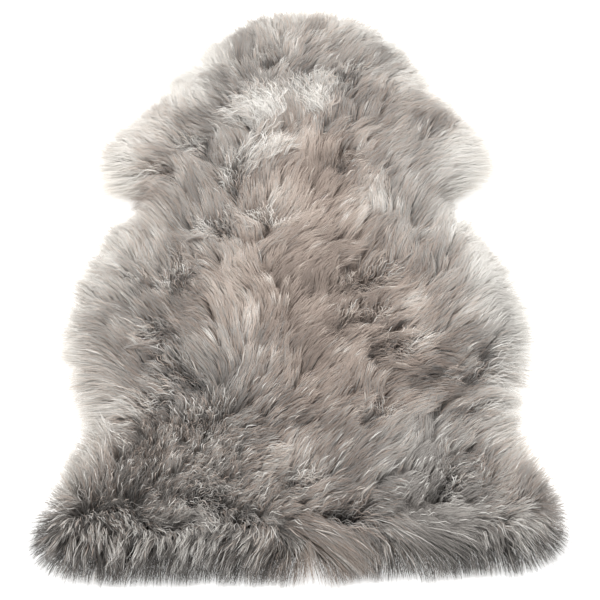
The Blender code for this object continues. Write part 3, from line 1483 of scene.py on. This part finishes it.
KINDS = (
    StrandStyle("coat", (4, 4, 3, 3, 3), seed=5),
    StrandStyle(
        "down", (3,), seed=7, where=Where.OUTSIDE_PARTINGS, width=0.00100, rim_width=0.60,
        spacing=0.00355, inner_share=0.55, reach=0.026, gather=0.10, front_gather=0.10,
        lock_gather=0.0, tuft_gather=0.0, frizz=0.0050, level=0.70,
    ),
    StrandStyle(
        "guard", (4,), seed=9, where=Where.HIPS, width=0.00095, rim_width=1.0, spacing=0.00250,
        reach=0.022, gather=0.45, front_gather=0.45, lock_gather=0.10, tuft_gather=0.0,
        frizz=0.0030, level=0.90, lighter=0.50,
    ),
    StrandStyle(
        "loose_curls", (9,), seed=10, where=Where.RINGLETS, width=0.00075, spacing=0.00170,
        reach=0.032, gather=0.55, front_gather=0.30, lock_gather=0.25, tuft_gather=0.0,
        frizz=0.0060, crimp=0.0034, wave=0.0260, wander=0.8, level=0.92, lighter=0.34,
        fan_deg=34.0,
    ),
    # Painted light: the halo's fine rim strands are made lighter, as if lit through by the floor.
    StrandStyle(
        "halo", (2,), seed=8, where=Where.RIM, width=0.00034, spacing=0.00150, reach=0.040,
        gather=0.30, front_gather=0.10, lock_gather=0.0, tuft_gather=0.0, frizz=0.0060,
        level=0.50, lighter=0.30,
    ),
    StrandStyle(
        "curls", (10,), seed=6, where=Where.PARTINGS, width=0.00080, spacing=0.00140,
        reach=0.022, gather=0.60, front_gather=0.30, lock_gather=0.0, tuft_gather=0.0,
        frizz=0.0060, crimp=0.0014, wave=0.0200, wander=0.7, level=0.74, lighter=0.28,
        fan_deg=34.0,
    ),
)


@dataclass
class Growth:
    """The roots of one kind of strand, and what their places and their random numbers say.

    Attributes:
        places: The roots, seen from above, as rows.
        own: Eight random numbers from -1 to 1 for each.
        spread: Two from 0 to 1 for each, which spread out the edge wool.
        wisp: The middle and the random numbers of each root's wisp.
        lock: The same of its lock.
        tuft: The same of its tuft.
        tuft_way: The way of the comb in the middle of its tuft.
        lead: How many cells it lies ahead of the middles of its tuft and its lock.
        front: 1 along the hind edge, fading to 0 ahead of it.
        inset: How far in from the wool's rim it lies.
        velvet: How little the wool gathers there, from 0 to 1.
        curl: How tightly the wool curls there, from 0 to 1.
    """

    places: Array
    own: Array
    spread: Array
    wisp: tuple[Array, Array]
    lock: tuple[Array, Array]
    tuft: tuple[Array, Array]
    tuft_way: Array
    lead: Array
    front: Array
    inset: Array
    velvet: Array
    curl: Array


@dataclass
class Fleece:
    """The strands of the rug, in pieces by zones along it.

    Attributes:
        envelope: The wool's outside.
        combing: Which way the wool lies, and its shades.
        underwool: What the strands rise from.
        edge: How far the skin's edge lies in from the wool's rim.
        edge_run: How far in from the skin's edge the wool still forms the rug's side.
        spill: How far the longest wisps pass the solid's rim.
        halo: The same for the finest loose strands.
        bounds: How far from the middle any tip may lie, across and along the rug.
        tufts: Cells of the broad tufts.
        locks: Cells of the locks, which make up the tufts.
        wisps: Cells of the wisps, which make up the locks.
        scatter: Random differences among tufts, locks, wisps and strands.
        contrast: How the shades differ.
    """

    envelope: WoolEnvelope
    combing: Combing
    underwool: Underwool
    edge: float
    edge_run: float = 0.045
    spill: float = 0.020
    halo: float = 0.040
    bounds: tuple[float, float] = (0.352, 0.513)
    tufts: Cells = field(default_factory=lambda: Cells(0.032, 102))
    locks: Cells = field(default_factory=lambda: Cells(0.0125, 103))
    wisps: Cells = field(default_factory=lambda: Cells(0.0045, 101))
    scatter: tuple[Scatter, Scatter, Scatter, Scatter] = (
        Scatter(turn=0.40, front_turn=0.60, reach=0.14, level=0.10, shade=0.110),
        Scatter(turn=0.26, front_turn=1.20, reach=0.16, level=0.07, shade=0.060),
        Scatter(turn=0.11, front_turn=3.00, reach=0.12, level=0.03, shade=0.035),
        Scatter(turn=0.09, front_turn=2.60, reach=0.14, level=0.04, shade=0.022),
    )
    contrast: Contrast = Contrast()

    def inset(self, places: Array) -> Array:
        """Returns how far in from the rim each place lies."""
        return self.envelope.sample(self.envelope.inset, places[:, 0], places[:, 1])

    def density(self, style: StrandStyle, places: Array) -> Array:
        """Works out how densely one kind of strand grows.

        Args:
            style: The kind of strand.
            places: Places on the rug, as rows.

        Returns:
            The chance that a strand is rooted at each place, from 0 to 1.
        """
        comb, x, y = self.combing, places[:, 0], places[:, 1]
        depth = self.inset(places) - self.edge
        side = rise(y, -0.43, 0.10)
        if style.where is Where.RINGLETS:
            return 0.85 * comb.ringlets(x, y)
        if style.where is Where.RIM:
            corners = mix(0.4, 1.0, rise(np.abs(x), 0.26, 0.03))
            return 0.75 * (depth < 0.016) * np.maximum(side, corners)
        density = mix(1.0 - 0.2 * side, style.inner_share, smoothstep(depth / 0.045))
        if style.where is Where.EVERYWHERE:
            return density * (1.0 - 0.80 * comb.holes(x, y))
        parted = comb.openness(x, y)
        if style.where is Where.OUTSIDE_PARTINGS:
            return density * (1.0 - parted)
        if style.where is Where.PARTINGS:
            return 0.25 * parted * (parted > 0.10)
        front, curl = 1.0 - comb.above_hind(x, y), comb.curl(x, y) * (1.0 - parted)
        return np.maximum(0.60 * front, 0.06 * curl) * smoothstep(depth / 0.014)

    def roots(self, style: StrandStyle, rng: np.random.Generator) -> Array:
        """Scatters roots over the skin on a jittered grid.

        Args:
            style: The kind of strand.
            rng: Where the random numbers come from.

        Returns:
            One place for each strand.
        """
        wool = self.envelope
        counts = (wool.cell * np.array(wool.inset.shape) / style.spacing).astype(int)
        lattice = np.stack(np.meshgrid(*map(np.arange, counts), indexing="ij"), axis=-1)
        places = wool.low + (lattice + rng.uniform(0.0, 1.0, lattice.shape)) * style.spacing
        places = places.reshape(-1, 2)
        kept = rng.uniform(0.0, 1.0, len(places)) < self.density(style, places)
        return places[kept & (self.inset(places) > self.edge)]

    def grow(self, style: StrandStyle, rng: np.random.Generator) -> Growth:
        """Roots one kind of strand, and finds the wisp, the lock and the tuft of each.

        Args:
            style: The kind of strand.
            rng: Where the random numbers come from.

        Returns:
            The roots and what they say.
        """
        comb, places = self.combing, self.roots(style, rng)
        x, y = places[:, 0], places[:, 1]
        wisp = self.wisps.nearest(places)
        lock = self.locks.nearest(wisp[0])
        tuft = self.tufts.nearest(lock[0])
        tuft_way = comb.direction(tuft[0][:, 0], tuft[0][:, 1])
        lead = ((places - tuft[0]) * tuft_way).sum(axis=1) / self.tufts.size
        lead = lead + 0.8 * ((places - lock[0]) * tuft_way).sum(axis=1) / self.locks.size
        return Growth(
            places=places,
            own=rng.uniform(-1.0, 1.0, (len(places), 8)),
            spread=rng.uniform(0.0, 1.0, (len(places), 2)),
            wisp=wisp,
            lock=lock,
            tuft=tuft,
            tuft_way=tuft_way,
            lead=lead,
            front=1.0 - comb.above_hind(x, y),
            inset=self.inset(places),
            velvet=comb.velvet(x, y),
            curl=comb.curl(x, y),
        )

    def rows(self, inset: Array, spread: Array, front: Array) -> tuple[Array, Array, Array]:
        """Sorts the edge wool into rows down the rug's side.

        Along the hind edge the strands reach equally far, so the rows follow their roots.

        Args:
            inset: How far in from the rim each root lies.
            spread: A random number from 0 to 1 for each.
            front: 1 on the hind edge, fading to 0 ahead of it.

        Returns:
            How near each root lies to the skin's edge, from 0 to 1, how far short of the rim its
            wool ends, and 1 for the lowest row, fading to 0 above it.
        """
        outermost = 1.0 - rise(inset, self.edge, 0.018)
        upper = rise(inset, self.edge, 0.014)
        evenly = 0.85 * (inset - self.edge) + upper * (0.034 * (spread - 0.45) + 0.010)
        short = mix(spread * mix(0.042, 0.010, outermost), np.clip(evenly, 0.0, 0.055), front)
        return outermost, short, 1.0 - smoothstep(short / 0.018)

    def past_rim(self, style: StrandStyle, places: Array, spread: Array) -> Array:
        """Works out how far past the solid's rim the longest edge wool ends.

        Args:
            style: The kind of strand.
            places: The roots, seen from above.
            spread: Rows of two random numbers from 0 to 1.

        Returns:
            The distance for each root: most for a few long wisps, and everywhere for the halo.
        """
        x, y = places[:, 0], places[:, 1]
        soft = rise(y, -0.43, 0.10)
        longer = mix(0.40, 1.9, spread[:, 1] ** 2.2)
        past = self.spill * mix(mix(0.52, 0.70, spread[:, 1]), longer, soft)
        past = past + sum(bulge.at(x, y) for bulge in BULGES)
        if style.where is Where.RIM:
            corner = rise(np.abs(x), 0.24, 0.04) * (1.0 - rise(y, -0.36, 0.06))
            fade = mix(0.009, 0.034, np.maximum(soft, corner))
            past = past + mix(0.002, fade, spread[:, 0]) + 0.016 * corner
        return past

    def run_to_rim(self, places: Array, way: Array, towards: Array, past: Array) -> Array:
        """Measures how far edge wool runs to end a set distance past the rim.

        Args:
            places: The roots, seen from above.
            way: The unit direction of each root's wool.
            towards: How much of that direction points out of the rug.
            past: How far past the rim it ends.

        Returns:
            The run: a first guess from the root's own distance, mended three times by what is
            missing at its end.
        """
        run = (self.inset(places) + past) / np.maximum(towards, 0.5)
        for _ in range(3):
            missing = self.inset(places + way * run[:, None]) + past
            run = np.maximum(run + 0.8 * np.clip(missing, -0.02, 0.02), 0.008)
        return run

    def aims(
        self, places: Array, way: Array, differences: Array, style: StrandStyle, spread: Array
    ) -> tuple[Array, Array]:
        """Works out crest and tip for wool rooted at some places.

        Args:
            places: The roots, seen from above.
            way: The comb's way at each.
            differences: Random turn, reach and level of each, as rows.
            style: The kind of strand, which says how far and how high its tips lie.
            spread: Rows of two random numbers from 0 to 1, which spread the edge wool out from
                the rug's shoulder to its rim, and from the floor upwards.

        Returns:
            The crests and the tips. Near the skin's edge the outermost roots feed the lowest wool,
            which ends at the rim, and those further in end on the rug's shoulder, in layers.
            Elsewhere a tip lies one reach out and just under the top.
        """
        wool, comb, x, y = self.envelope, self.combing, places[:, 0], places[:, 1]
        turn, stretch, lift_by = differences[:, 0], 1 + differences[:, 1], differences[:, 2]
        inset, front = self.inset(places), 1.0 - comb.above_hind(x, y)
        at_edge = 1.0 - rise(inset, self.edge, self.edge_run)
        outermost, short, lowest = self.rows(inset, spread[:, 0], front)

        # Which way: the edge wool turns less at random, and the lowest points straight out.
        turn = turn * mix(1 - 0.55 * at_edge, 1.0, front) * (1 - 0.92 * lowest * at_edge)
        outward = wool.sample(wool.outward, x, y)
        way = unit(mix(turned(way, turn), outward, (0.8 * lowest * front)[:, None]))
        towards = (way * outward).sum(-1)

        # How far: edge wool to its row, the rest one reach, and less over the hind edge.
        to_row = self.run_to_rim(places, way, towards, self.past_rim(style, places, spread) - short)
        reach = style.reach * stretch * comb.length(x, y)
        far = mix(reach, to_row, at_edge * smoothstep(towards / 0.4))
        far = np.minimum(far, (inset + self.halo) / np.maximum(towards, 0.05))
        longest = mix(0.028, 0.044, spread[:, 1]) * mix(1.0, 0.64, rise(x, -0.04, 0.10))
        far = np.minimum(far, mix(0.10, longest, smoothstep(front / 0.3) * (1.0 - lowest)))
        if style.where not in (Where.PARTINGS, Where.HIPS, Where.RINGLETS):
            ahead = [places + way * (share * far)[:, None] for share in (0.5, 0.75, 1.0)]
            covered = np.max([comb.holes(spots[:, 0], spots[:, 1]) for spots in ahead], axis=0)
            far = far * (1.0 - 0.60 * covered)
        tips = places + way * far[:, None]

        # How high: edge wool from the floor up, and the rest just under the top.
        low = mix(mix(0.62, 1.0, spread[:, 1]), mix(0.04, 0.60, spread[:, 1]), outermost)
        level = mix(style.level + lift_by, low, 0.9 * at_edge)
        there = np.maximum(wool.sample(wool.height, tips[:, 0], tips[:, 1]), 0.015)
        height = np.maximum(there * level, 0.0025)
        lift = wool.sample(wool.height, x, y) * mix(0.45, 1.22, smoothstep(level / 0.85))
        lift = mix(lift, np.maximum(0.5 * lift, height + 0.013), 0.8 * front * at_edge)
        crest = np.concatenate([places + way * (0.25 * far)[:, None], lift[:, None]], axis=1)
        return crest, np.concatenate([tips, height[:, None]], axis=1)

    def differences(self, style: StrandStyle, growth: Growth) -> Array:
        """Adds up the random differences of each strand's tuft, lock, wisp and own.

        Args:
            style: The kind of strand.
            growth: Its roots.

        Returns:
            Four layers, for the tufts, locks, wisps and strands, each with those of the layers
            before it: rows of turn, reach, level and shade.
        """
        draws = (growth.tuft[1], growth.lock[1], growth.wisp[1], growth.own)
        parts = np.stack([s.of(d, growth.front) for s, d in zip(self.scatter, draws)])
        parts[2, :, 0] += style.wander * growth.wisp[1][:, 6]
        parts[1:] *= (1.0 - 0.60 * growth.velvet)[:, None]
        summed = np.cumsum(parts, axis=0)
        summed[3, :, 2] += 0.08 * growth.lead
        return summed

    def edge_spread(self, growth: Growth, upper: Array) -> tuple[Array, Array]:
        """Works out how wisps and strands are spread from the rug's shoulder to its rim.

        Args:
            growth: The roots.
            upper: 1 over the hind edge but for its lowest wool, fading to 0 elsewhere.

        Returns:
            Rows of two numbers from 0 to 1, for the wisps and for the strands.
        """
        front = growth.front[:, None]
        drawn = mix(growth.wisp[1][:, 4:6], 2 * growth.spread - 1, 0.4 * (1 - front))
        drawn = mix(drawn, growth.lock[1][:, 4:6], 0.25 * front)
        wisps = np.clip(0.5 + 0.5 * drawn * (1.0 + 0.4 * front), 0.0, 1.0)
        return wisps, mix(growth.spread, wisps, mix(0.35, 0.85, upper))

    def gathered(
        self, style: StrandStyle, growth: Growth, differences: Array
    ) -> tuple[Array, Array, Array]:
        """Draws each strand towards its wisp, its lock and its tuft, and adds its frizz.

        Args:
            style: The kind of strand.
            growth: Its roots.
            differences: The layers that differences() returns.

        Returns:
            The crests, the tips, and 1 for the hind edge's lowest row, fading to 0 above it.
        """
        comb, own, front, inset = self.combing, growth.own, growth.front, growth.inset
        upper = (front * rise(inset, self.edge, 0.016))[:, None]
        wisp_spread, own_spread = self.edge_spread(growth, upper)
        levels = (
            (growth.places, differences[3], own_spread),
            (growth.wisp[0], differences[2], wisp_spread),
            (growth.lock[0], differences[1], wisp_spread),
        )
        held = (0.4 * (1.0 - front))[:, None]
        aims = []
        for spots, differ, spread in levels:
            way = unit(mix(comb.direction(spots[:, 0], spots[:, 1]), growth.tuft_way, held))
            aims.append(self.aims(spots, way, differ, style, spread))
        (crest, tip), (wisp_crest, wisp_tip), (_, lock_tip) = aims
        _, tuft_tip = self.aims(
            growth.tuft[0], growth.tuft_way, differences[0], style, wisp_spread
        )

        lowest = self.rows(inset, own_spread[:, 0], front)[2]
        crisp = front * (1.0 - lowest)
        gather = style.gather * (0.2 + 0.8 * rise(inset, self.edge, 0.035))
        gather = mix(gather, style.front_gather, crisp)
        looseness = mix(0.65 + 0.35 * own[:, 3], 0.88 + 0.12 * own[:, 3], crisp)
        pull = gather * (1.0 - 0.78 * growth.velvet) * looseness
        pull = (pull * (0.85 + 0.15 * growth.wisp[1][:, 5]))[:, None]
        inner = rise(inset, self.edge, self.edge_run)[:, None]
        loosely = (1.0 - 0.7 * growth.velvet)[:, None]
        crest = mix(crest, wisp_crest, 0.25 * pull)
        tip = mix(tip, wisp_tip, pull)
        tip = mix(tip, lock_tip, style.lock_gather * loosely * np.maximum(inner, 0.5 * upper))
        tip = mix(tip, tuft_tip, style.tuft_gather * loosely * inner)

        loose = mix(mix(0.9, 1.2, growth.curl), 0.35, crisp) * (1.0 - 0.5 * front * lowest)
        frizz = own[:, 4:7] * style.frizz * (1.0, 1.0, 0.5) * loose[:, None]
        tip, crest = tip + frizz, crest + 0.6 * frizz[:, [1, 0, 2]]
        tip[:, :2] = self.envelope.held_in(tip[:, :2], self.halo)
        tip[:, :2] = np.clip(tip[:, :2], -np.array(self.bounds), self.bounds)
        tip[:, 2] = np.maximum(tip[:, 2], 0.002)
        return crest, tip, lowest

    def shades(
        self, style: StrandStyle, growth: Growth, scattered: Array, tip: Array, lowest: Array
    ) -> Array:
        """Works out how light each strand is.

        Args:
            style: The kind of strand.
            growth: Its roots.
            scattered: The random differences in shade.
            tip: The tips.
            lowest: 1 for the hind edge's lowest row, fading to 0 above it.

        Returns:
            The comb's shade at the tip and its kind's own, with the contrasts added.
        """
        by, front = self.contrast, growth.front
        low = front * lowest
        even = 1.0 - 0.7 * growth.velvet
        wisps, locks = growth.wisp[1], growth.lock[1]
        shade = self.combing.shade(tip[:, 0], tip[:, 1]) + style.lighter
        # Painted light and shade on each tuft: lighter at its leading end, darker at its base.
        shade = shade + by.lead * even * growth.lead
        shade = shade + scattered * mix(1.0, by.front, front) * (1.0 - 0.9 * low)
        crisp = by.front_wisps * wisps[:, 7] + by.front_strands * growth.own[:, 7] + by.front_shift
        shade = shade + (front - low) * crisp
        shade = shade - front * mix(*by.shadow, np.clip(tip[:, 2] / by.shadow_height, 0.0, 1.0))
        shade = shade + even * by.pale_locks * (locks[:, 6] > by.pale_lock_from)
        shade = shade - even * by.dark_locks * (locks[:, 7] > by.dark_lock_from)
        shade = shade - by.velvet * growth.velvet - by.curl * growth.curl
        return shade + by.pale_wisps * (wisps[:, 6] > by.pale_wisp_from)

    def strands(self, style: StrandStyle) -> dict[str, Array]:
        """Works out every strand's three points, colour and roll.

        Args:
            style: The kind of strand.

        Returns:
            Arrays by name: root, crest and tip as rows of points; tone, width, roll and phase;
            crimp, the height of its waves; bare, the strand map's place up it of its root; hold,
            the power of the way along it by which that place rises to the tip, which two set how
            much painted root shade shows.
        """
        rng, comb = np.random.default_rng(style.seed), self.combing
        growth = self.grow(style, rng)
        x, y, own, front = growth.places[:, 0], growth.places[:, 1], growth.own, growth.front
        differences = self.differences(style, growth)
        crest, tip, lowest = self.gathered(style, growth, differences)
        height = 0.55 * self.underwool.height(x, y)
        # How much of the painted root shade shows: least where the wool lies evenly, most where it
        # curls and over the hind edge.
        crisper = np.maximum(0.80 * growth.curl, front)
        bare = mix(0.42 + 0.34 * growth.velvet, 0.01, crisper)
        at_rim = mix(style.rim_width, 1.0, rise(growth.inset, self.edge, 0.060))
        warm = rng.uniform(0.0, 1.0, len(x)) < comb.warmth(x, y)
        shade = self.shades(style, growth, differences[3, :, 3], tip, lowest)
        return {
            "root": np.concatenate([growth.places, height[:, None]], axis=1),
            "crest": crest,
            "tip": tip,
            "tone": strand_tone(shade, warm),
            "width": style.width * (1 + 0.25 * own[:, 5]) * at_rim,
            "roll": style.roll * own[:, 6],
            "phase": math.pi * (growth.wisp[1][:, 6] + 0.25 * own[:, 7]),
            "crimp": style.crimp * mix(0.6, 2.0, growth.curl) + 0.0020 * comb.ringlets(x, y),
            "bare": mix(bare, 0.40, 0.8 * front * lowest),
            "hold": mix(1.0, 1.8, crisper) + 1.6 * front * (1.0 - lowest),
        }

    def ribbons(
        self, style: StrandStyle, strand: dict[str, Array], sections: int
    ) -> tuple[Array, Array, Array, Array]:
        """Turns strands into ribbons.

        Each lies along the curve (1-t)^2 root + 2t(1-t) crest + t^2 tip, waved sideways by its
        crimp. Its flat side is turned to the outside of the bend, rolled a little at random, and
        it narrows to a point at the tip. Its shading directions fan out across it, as on a round
        fibre.

        Args:
            style: The kind of strand.
            strand: The arrays that strands() returns.
            sections: Sections along each.

        Returns:
            Points, triangles, the strand map's place of each point, and shading directions.
        """
        steps = np.linspace(0.0, 1.0, sections + 1) ** 0.9
        t = steps[None, :, None]
        root, crest, tip = (strand[key][:, None] for key in ("root", "crest", "tip"))
        line = (1 - t) ** 2 * root + 2 * t * (1 - t) * crest + t**2 * tip
        along = unit((1 - t) * (crest - root) + t * (tip - crest))
        flat = unit((strand["tip"] - strand["root"])[:, :2] + 1e-6)
        left = np.stack([-flat[:, 1], flat[:, 0], 0 * flat[:, 0]], axis=1)[:, None]
        left = unit(left - (left * along).sum(-1, keepdims=True) * along)
        top = np.cross(along, left)
        roll = strand["roll"][:, None, None] * (1.0 + 0.5 * t)
        side = np.cos(roll) * left + np.sin(roll) * top
        face = np.cross(along, side)
        if style.crimp:
            length = np.linalg.norm(strand["tip"] - strand["root"], axis=1)[:, None]
            turn = 2 * math.pi * t[..., 0] * length / style.wave + strand["phase"][:, None]
            swing = (strand["crimp"][:, None] * np.minimum(4 * t[..., 0], 1.0))[..., None]
            line = line + swing * np.sin(turn)[..., None] * left
            line = line + 0.6 * swing * np.cos(turn)[..., None] * top
        half = strand["width"][:, None, None] * (1.0 - 0.3 * t**2) / 2
        tilt = math.radians(style.fan_deg)
        edges, shading = [], []
        for sign in (1.0, -1.0):
            edges.append((line + sign * half * side)[:, :-1])
            shading.append((math.cos(tilt) * face + sign * math.sin(tilt) * side)[:, :-1])
        count, last = len(line), 2 * sections
        points = np.concatenate([np.stack(edges, 2).reshape(count, -1, 3), line[:, -1:]], axis=1)
        normals = np.concatenate([np.stack(shading, 2).reshape(count, -1, 3), face[:, -1:]], axis=1)

        near = 2 * np.arange(sections - 1)[:, None]
        pairs = np.concatenate([near + (0, 3, 2), near + (0, 1, 3), [[last - 2, last - 1, last]]])
        faces = (pairs[None] + (last + 1) * np.arange(count)[:, None, None]).reshape(-1, 3)

        u = strand["tone"][:, None] + np.array([0.0015, -0.0015] * sections + [0.0])[None]
        # Up the map: from the root's painted shade to the tip.
        up = np.append(np.repeat(steps[:-1], 2), 1.0)[None] ** strand["hold"][:, None]
        v = mix(strand["bare"][:, None], 0.99, up)
        places = np.stack([u, v], axis=-1).reshape(-1, 2)
        return points.reshape(-1, 3), faces, places, normals.reshape(-1, 3)

    def build(self, style: StrandStyle, material: bpy.types.Material) -> list[bpy.types.Object]:
        """Builds one kind of strand in zones that hold the same number of strands.

        Args:
            style: The kind of strand.
            material: The wool finish.

        Returns:
            The pieces.
        """
        strand = self.strands(style)
        order = np.argsort(strand["root"][:, 1], kind="stable")
        zones = np.array_split(order, len(style.sections))
        pieces = []
        for number, (chosen, sections) in enumerate(zip(zones, style.sections), start=1):
            part = {key: values[chosen] for key, values in strand.items()}
            points, faces, places, normals = self.ribbons(style, part, sections)
            piece = make_piece(f"{style.name}_{number}", points, faces, material, places, normals)
            log.info("%s has %d strands", piece.name, len(chosen))
            pieces.append(piece)
        return pieces


# ---- The stage ----


@dataclass(frozen=True)
class FloorFinish:
    """Plain matt white, which glows a little so that it stays white all round.

    Attributes:
        colour: Its colour.
        roughness: Its roughness.
        shine: Strength of its highlights.
        glow: Colour of its glow.
        glow_strength: Strength of its glow.
    """

    colour: Colour = (0.94, 0.94, 0.935)
    roughness: float = 0.9
    shine: float = 0.1
    glow: Colour = (1.0, 1.0, 0.995)
    glow_strength: float = 0.60

    def make(self, name: str) -> bpy.types.Material:
        """Makes the material.

        Args:
            name: The material's name.

        Returns:
            A plain Principled material.
        """
        nodes = Nodes(name)
        nodes.set({
            "Base Color": (*self.colour, 1.0),
            "Roughness": self.roughness,
            "Specular IOR Level": self.shine,
            "Emission Color": (*self.glow, 1.0),
            "Emission Strength": self.glow_strength,
        })
        return nodes.material


@dataclass(frozen=True)
class Lamp:
    """A square soft light that faces the rug's middle.

    Attributes:
        name: Its name.
        place: Where it hangs.
        side: Its side.
        power: Its power in watts.
        tint: Its colour.
    """

    name: str
    place: tuple[float, float, float]
    side: float
    power: float
    tint: Colour

    def build(self) -> None:
        """Hangs the light."""
        light = bpy.data.lights.new(self.name, "AREA")
        light.shape, light.size = "SQUARE", self.side
        light.energy, light.color = self.power, self.tint
        lamp = bpy.data.objects.new(self.name, light)
        lamp.location = self.place
        lamp.rotation_euler = (-Vector(self.place)).to_track_quat("-Z", "Y").to_euler()
        bpy.context.scene.collection.objects.link(lamp)


@dataclass
class Studio:
    """A white floor, even light all round, two soft lights, and the camera.

    Attributes:
        floor_side: Side of the floor.
        sky: Strength of the even white light from all round.
        lamps: The soft lights, one high past the head and one low at the left.
        height: Height of the camera over the floor.
        back: How far the camera stands from the rug's middle, past the hind edge.
        look_down_deg: How steeply it looks down.
        lens: Its focal length, in millimetres.
        sensor: Width of its sensor, in millimetres.
        clip: The nearest and the farthest that it sees.
    """

    floor_side: float = 9.0
    sky: float = 0.70
    lamps: tuple[Lamp, ...] = (
        Lamp("overhead", (0.0, 0.9, 2.4), side=2.2, power=62.0, tint=(1.0, 0.99, 0.97)),
        Lamp("side", (-2.2, 0.2, 1.4), side=1.4, power=14.0, tint=(1.0, 0.98, 0.96)),
    )
    height: float = 1.53
    back: float = 1.1355
    look_down_deg: float = 55.0
    lens: float = 82.1
    sensor: float = 36.0
    clip: tuple[float, float] = (0.01, 100.0)

    def build(self) -> None:
        """Builds the floor, the lights and the camera."""
        self.build_floor()
        self.build_sky()
        for lamp in self.lamps:
            lamp.build()
        self.build_camera()

    def build_floor(self) -> None:
        """Lays the floor."""
        half = self.floor_side / 2
        corners = [(-half, -half, 0.0), (half, -half, 0.0), (half, half, 0.0), (-half, half, 0.0)]
        mesh = bpy.data.meshes.new("floor")
        mesh.from_pydata(corners, [], [(0, 1, 2, 3)])
        mesh.materials.append(FloorFinish().make("floor"))
        floor = bpy.data.objects.new("floor", mesh)
        bpy.context.scene.collection.objects.link(floor)

    def build_sky(self) -> None:
        """Lights the scene evenly from all round."""
        world = bpy.data.worlds.new("studio")
        world.use_nodes = True
        background = world.node_tree.nodes["Background"]
        background.inputs["Color"].default_value = (1.0, 1.0, 1.0, 1.0)
        background.inputs["Strength"].default_value = self.sky
        bpy.context.scene.world = world

    def build_camera(self) -> None:
        """Sets up the camera, which looks down at the rug's middle from past its hind edge."""
        camera = bpy.data.cameras.new("camera")
        camera.lens, camera.sensor_width = self.lens, self.sensor
        camera.clip_start, camera.clip_end = self.clip
        view = bpy.data.objects.new("camera", camera)
        view.location = (0.0, -self.back, self.height)
        view.rotation_euler = (math.radians(90.0 - self.look_down_deg), 0.0, 0.0)
        bpy.context.scene.collection.objects.link(view)
        bpy.context.scene.camera = view
        bpy.context.scene.view_settings.view_transform = "Standard"


def main() -> None:
    """Loads the frame and builds the rug's pieces in order, from the skin up."""
    logging.basicConfig(level=logging.INFO, format="%(name)s: %(message)s")
    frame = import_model()
    Studio().build()

    envelope = WoolEnvelope(frame["nodes"][NODE])
    skin = Footprint(envelope, inset=0.030, rows=96, columns=25)
    hide = Hide(skin).build(SuedeFinish().make("suede"))
    combing = Combing(envelope)
    matted = Underwool(Footprint(envelope, inset=0.029, rows=200, columns=110), combing)
    wool = WoolFinish()
    underwool = matted.build(UnderwoolFinish(wool).make("underwool"))
    fleece = Fleece(envelope, combing, matted, edge=skin.inset)
    strands = wool.make("wool")
    coat = [piece for style in KINDS for piece in fleece.build(style, strands)]
    for piece in (hide, underwool, *coat):
        mesh = piece.data
        log.info("%s: %d points, %d faces", piece.name, len(mesh.vertices), len(mesh.polygons))

    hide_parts(NODE)
    along, left, right = skin.edges()


if __name__ == "__main__":
    main()
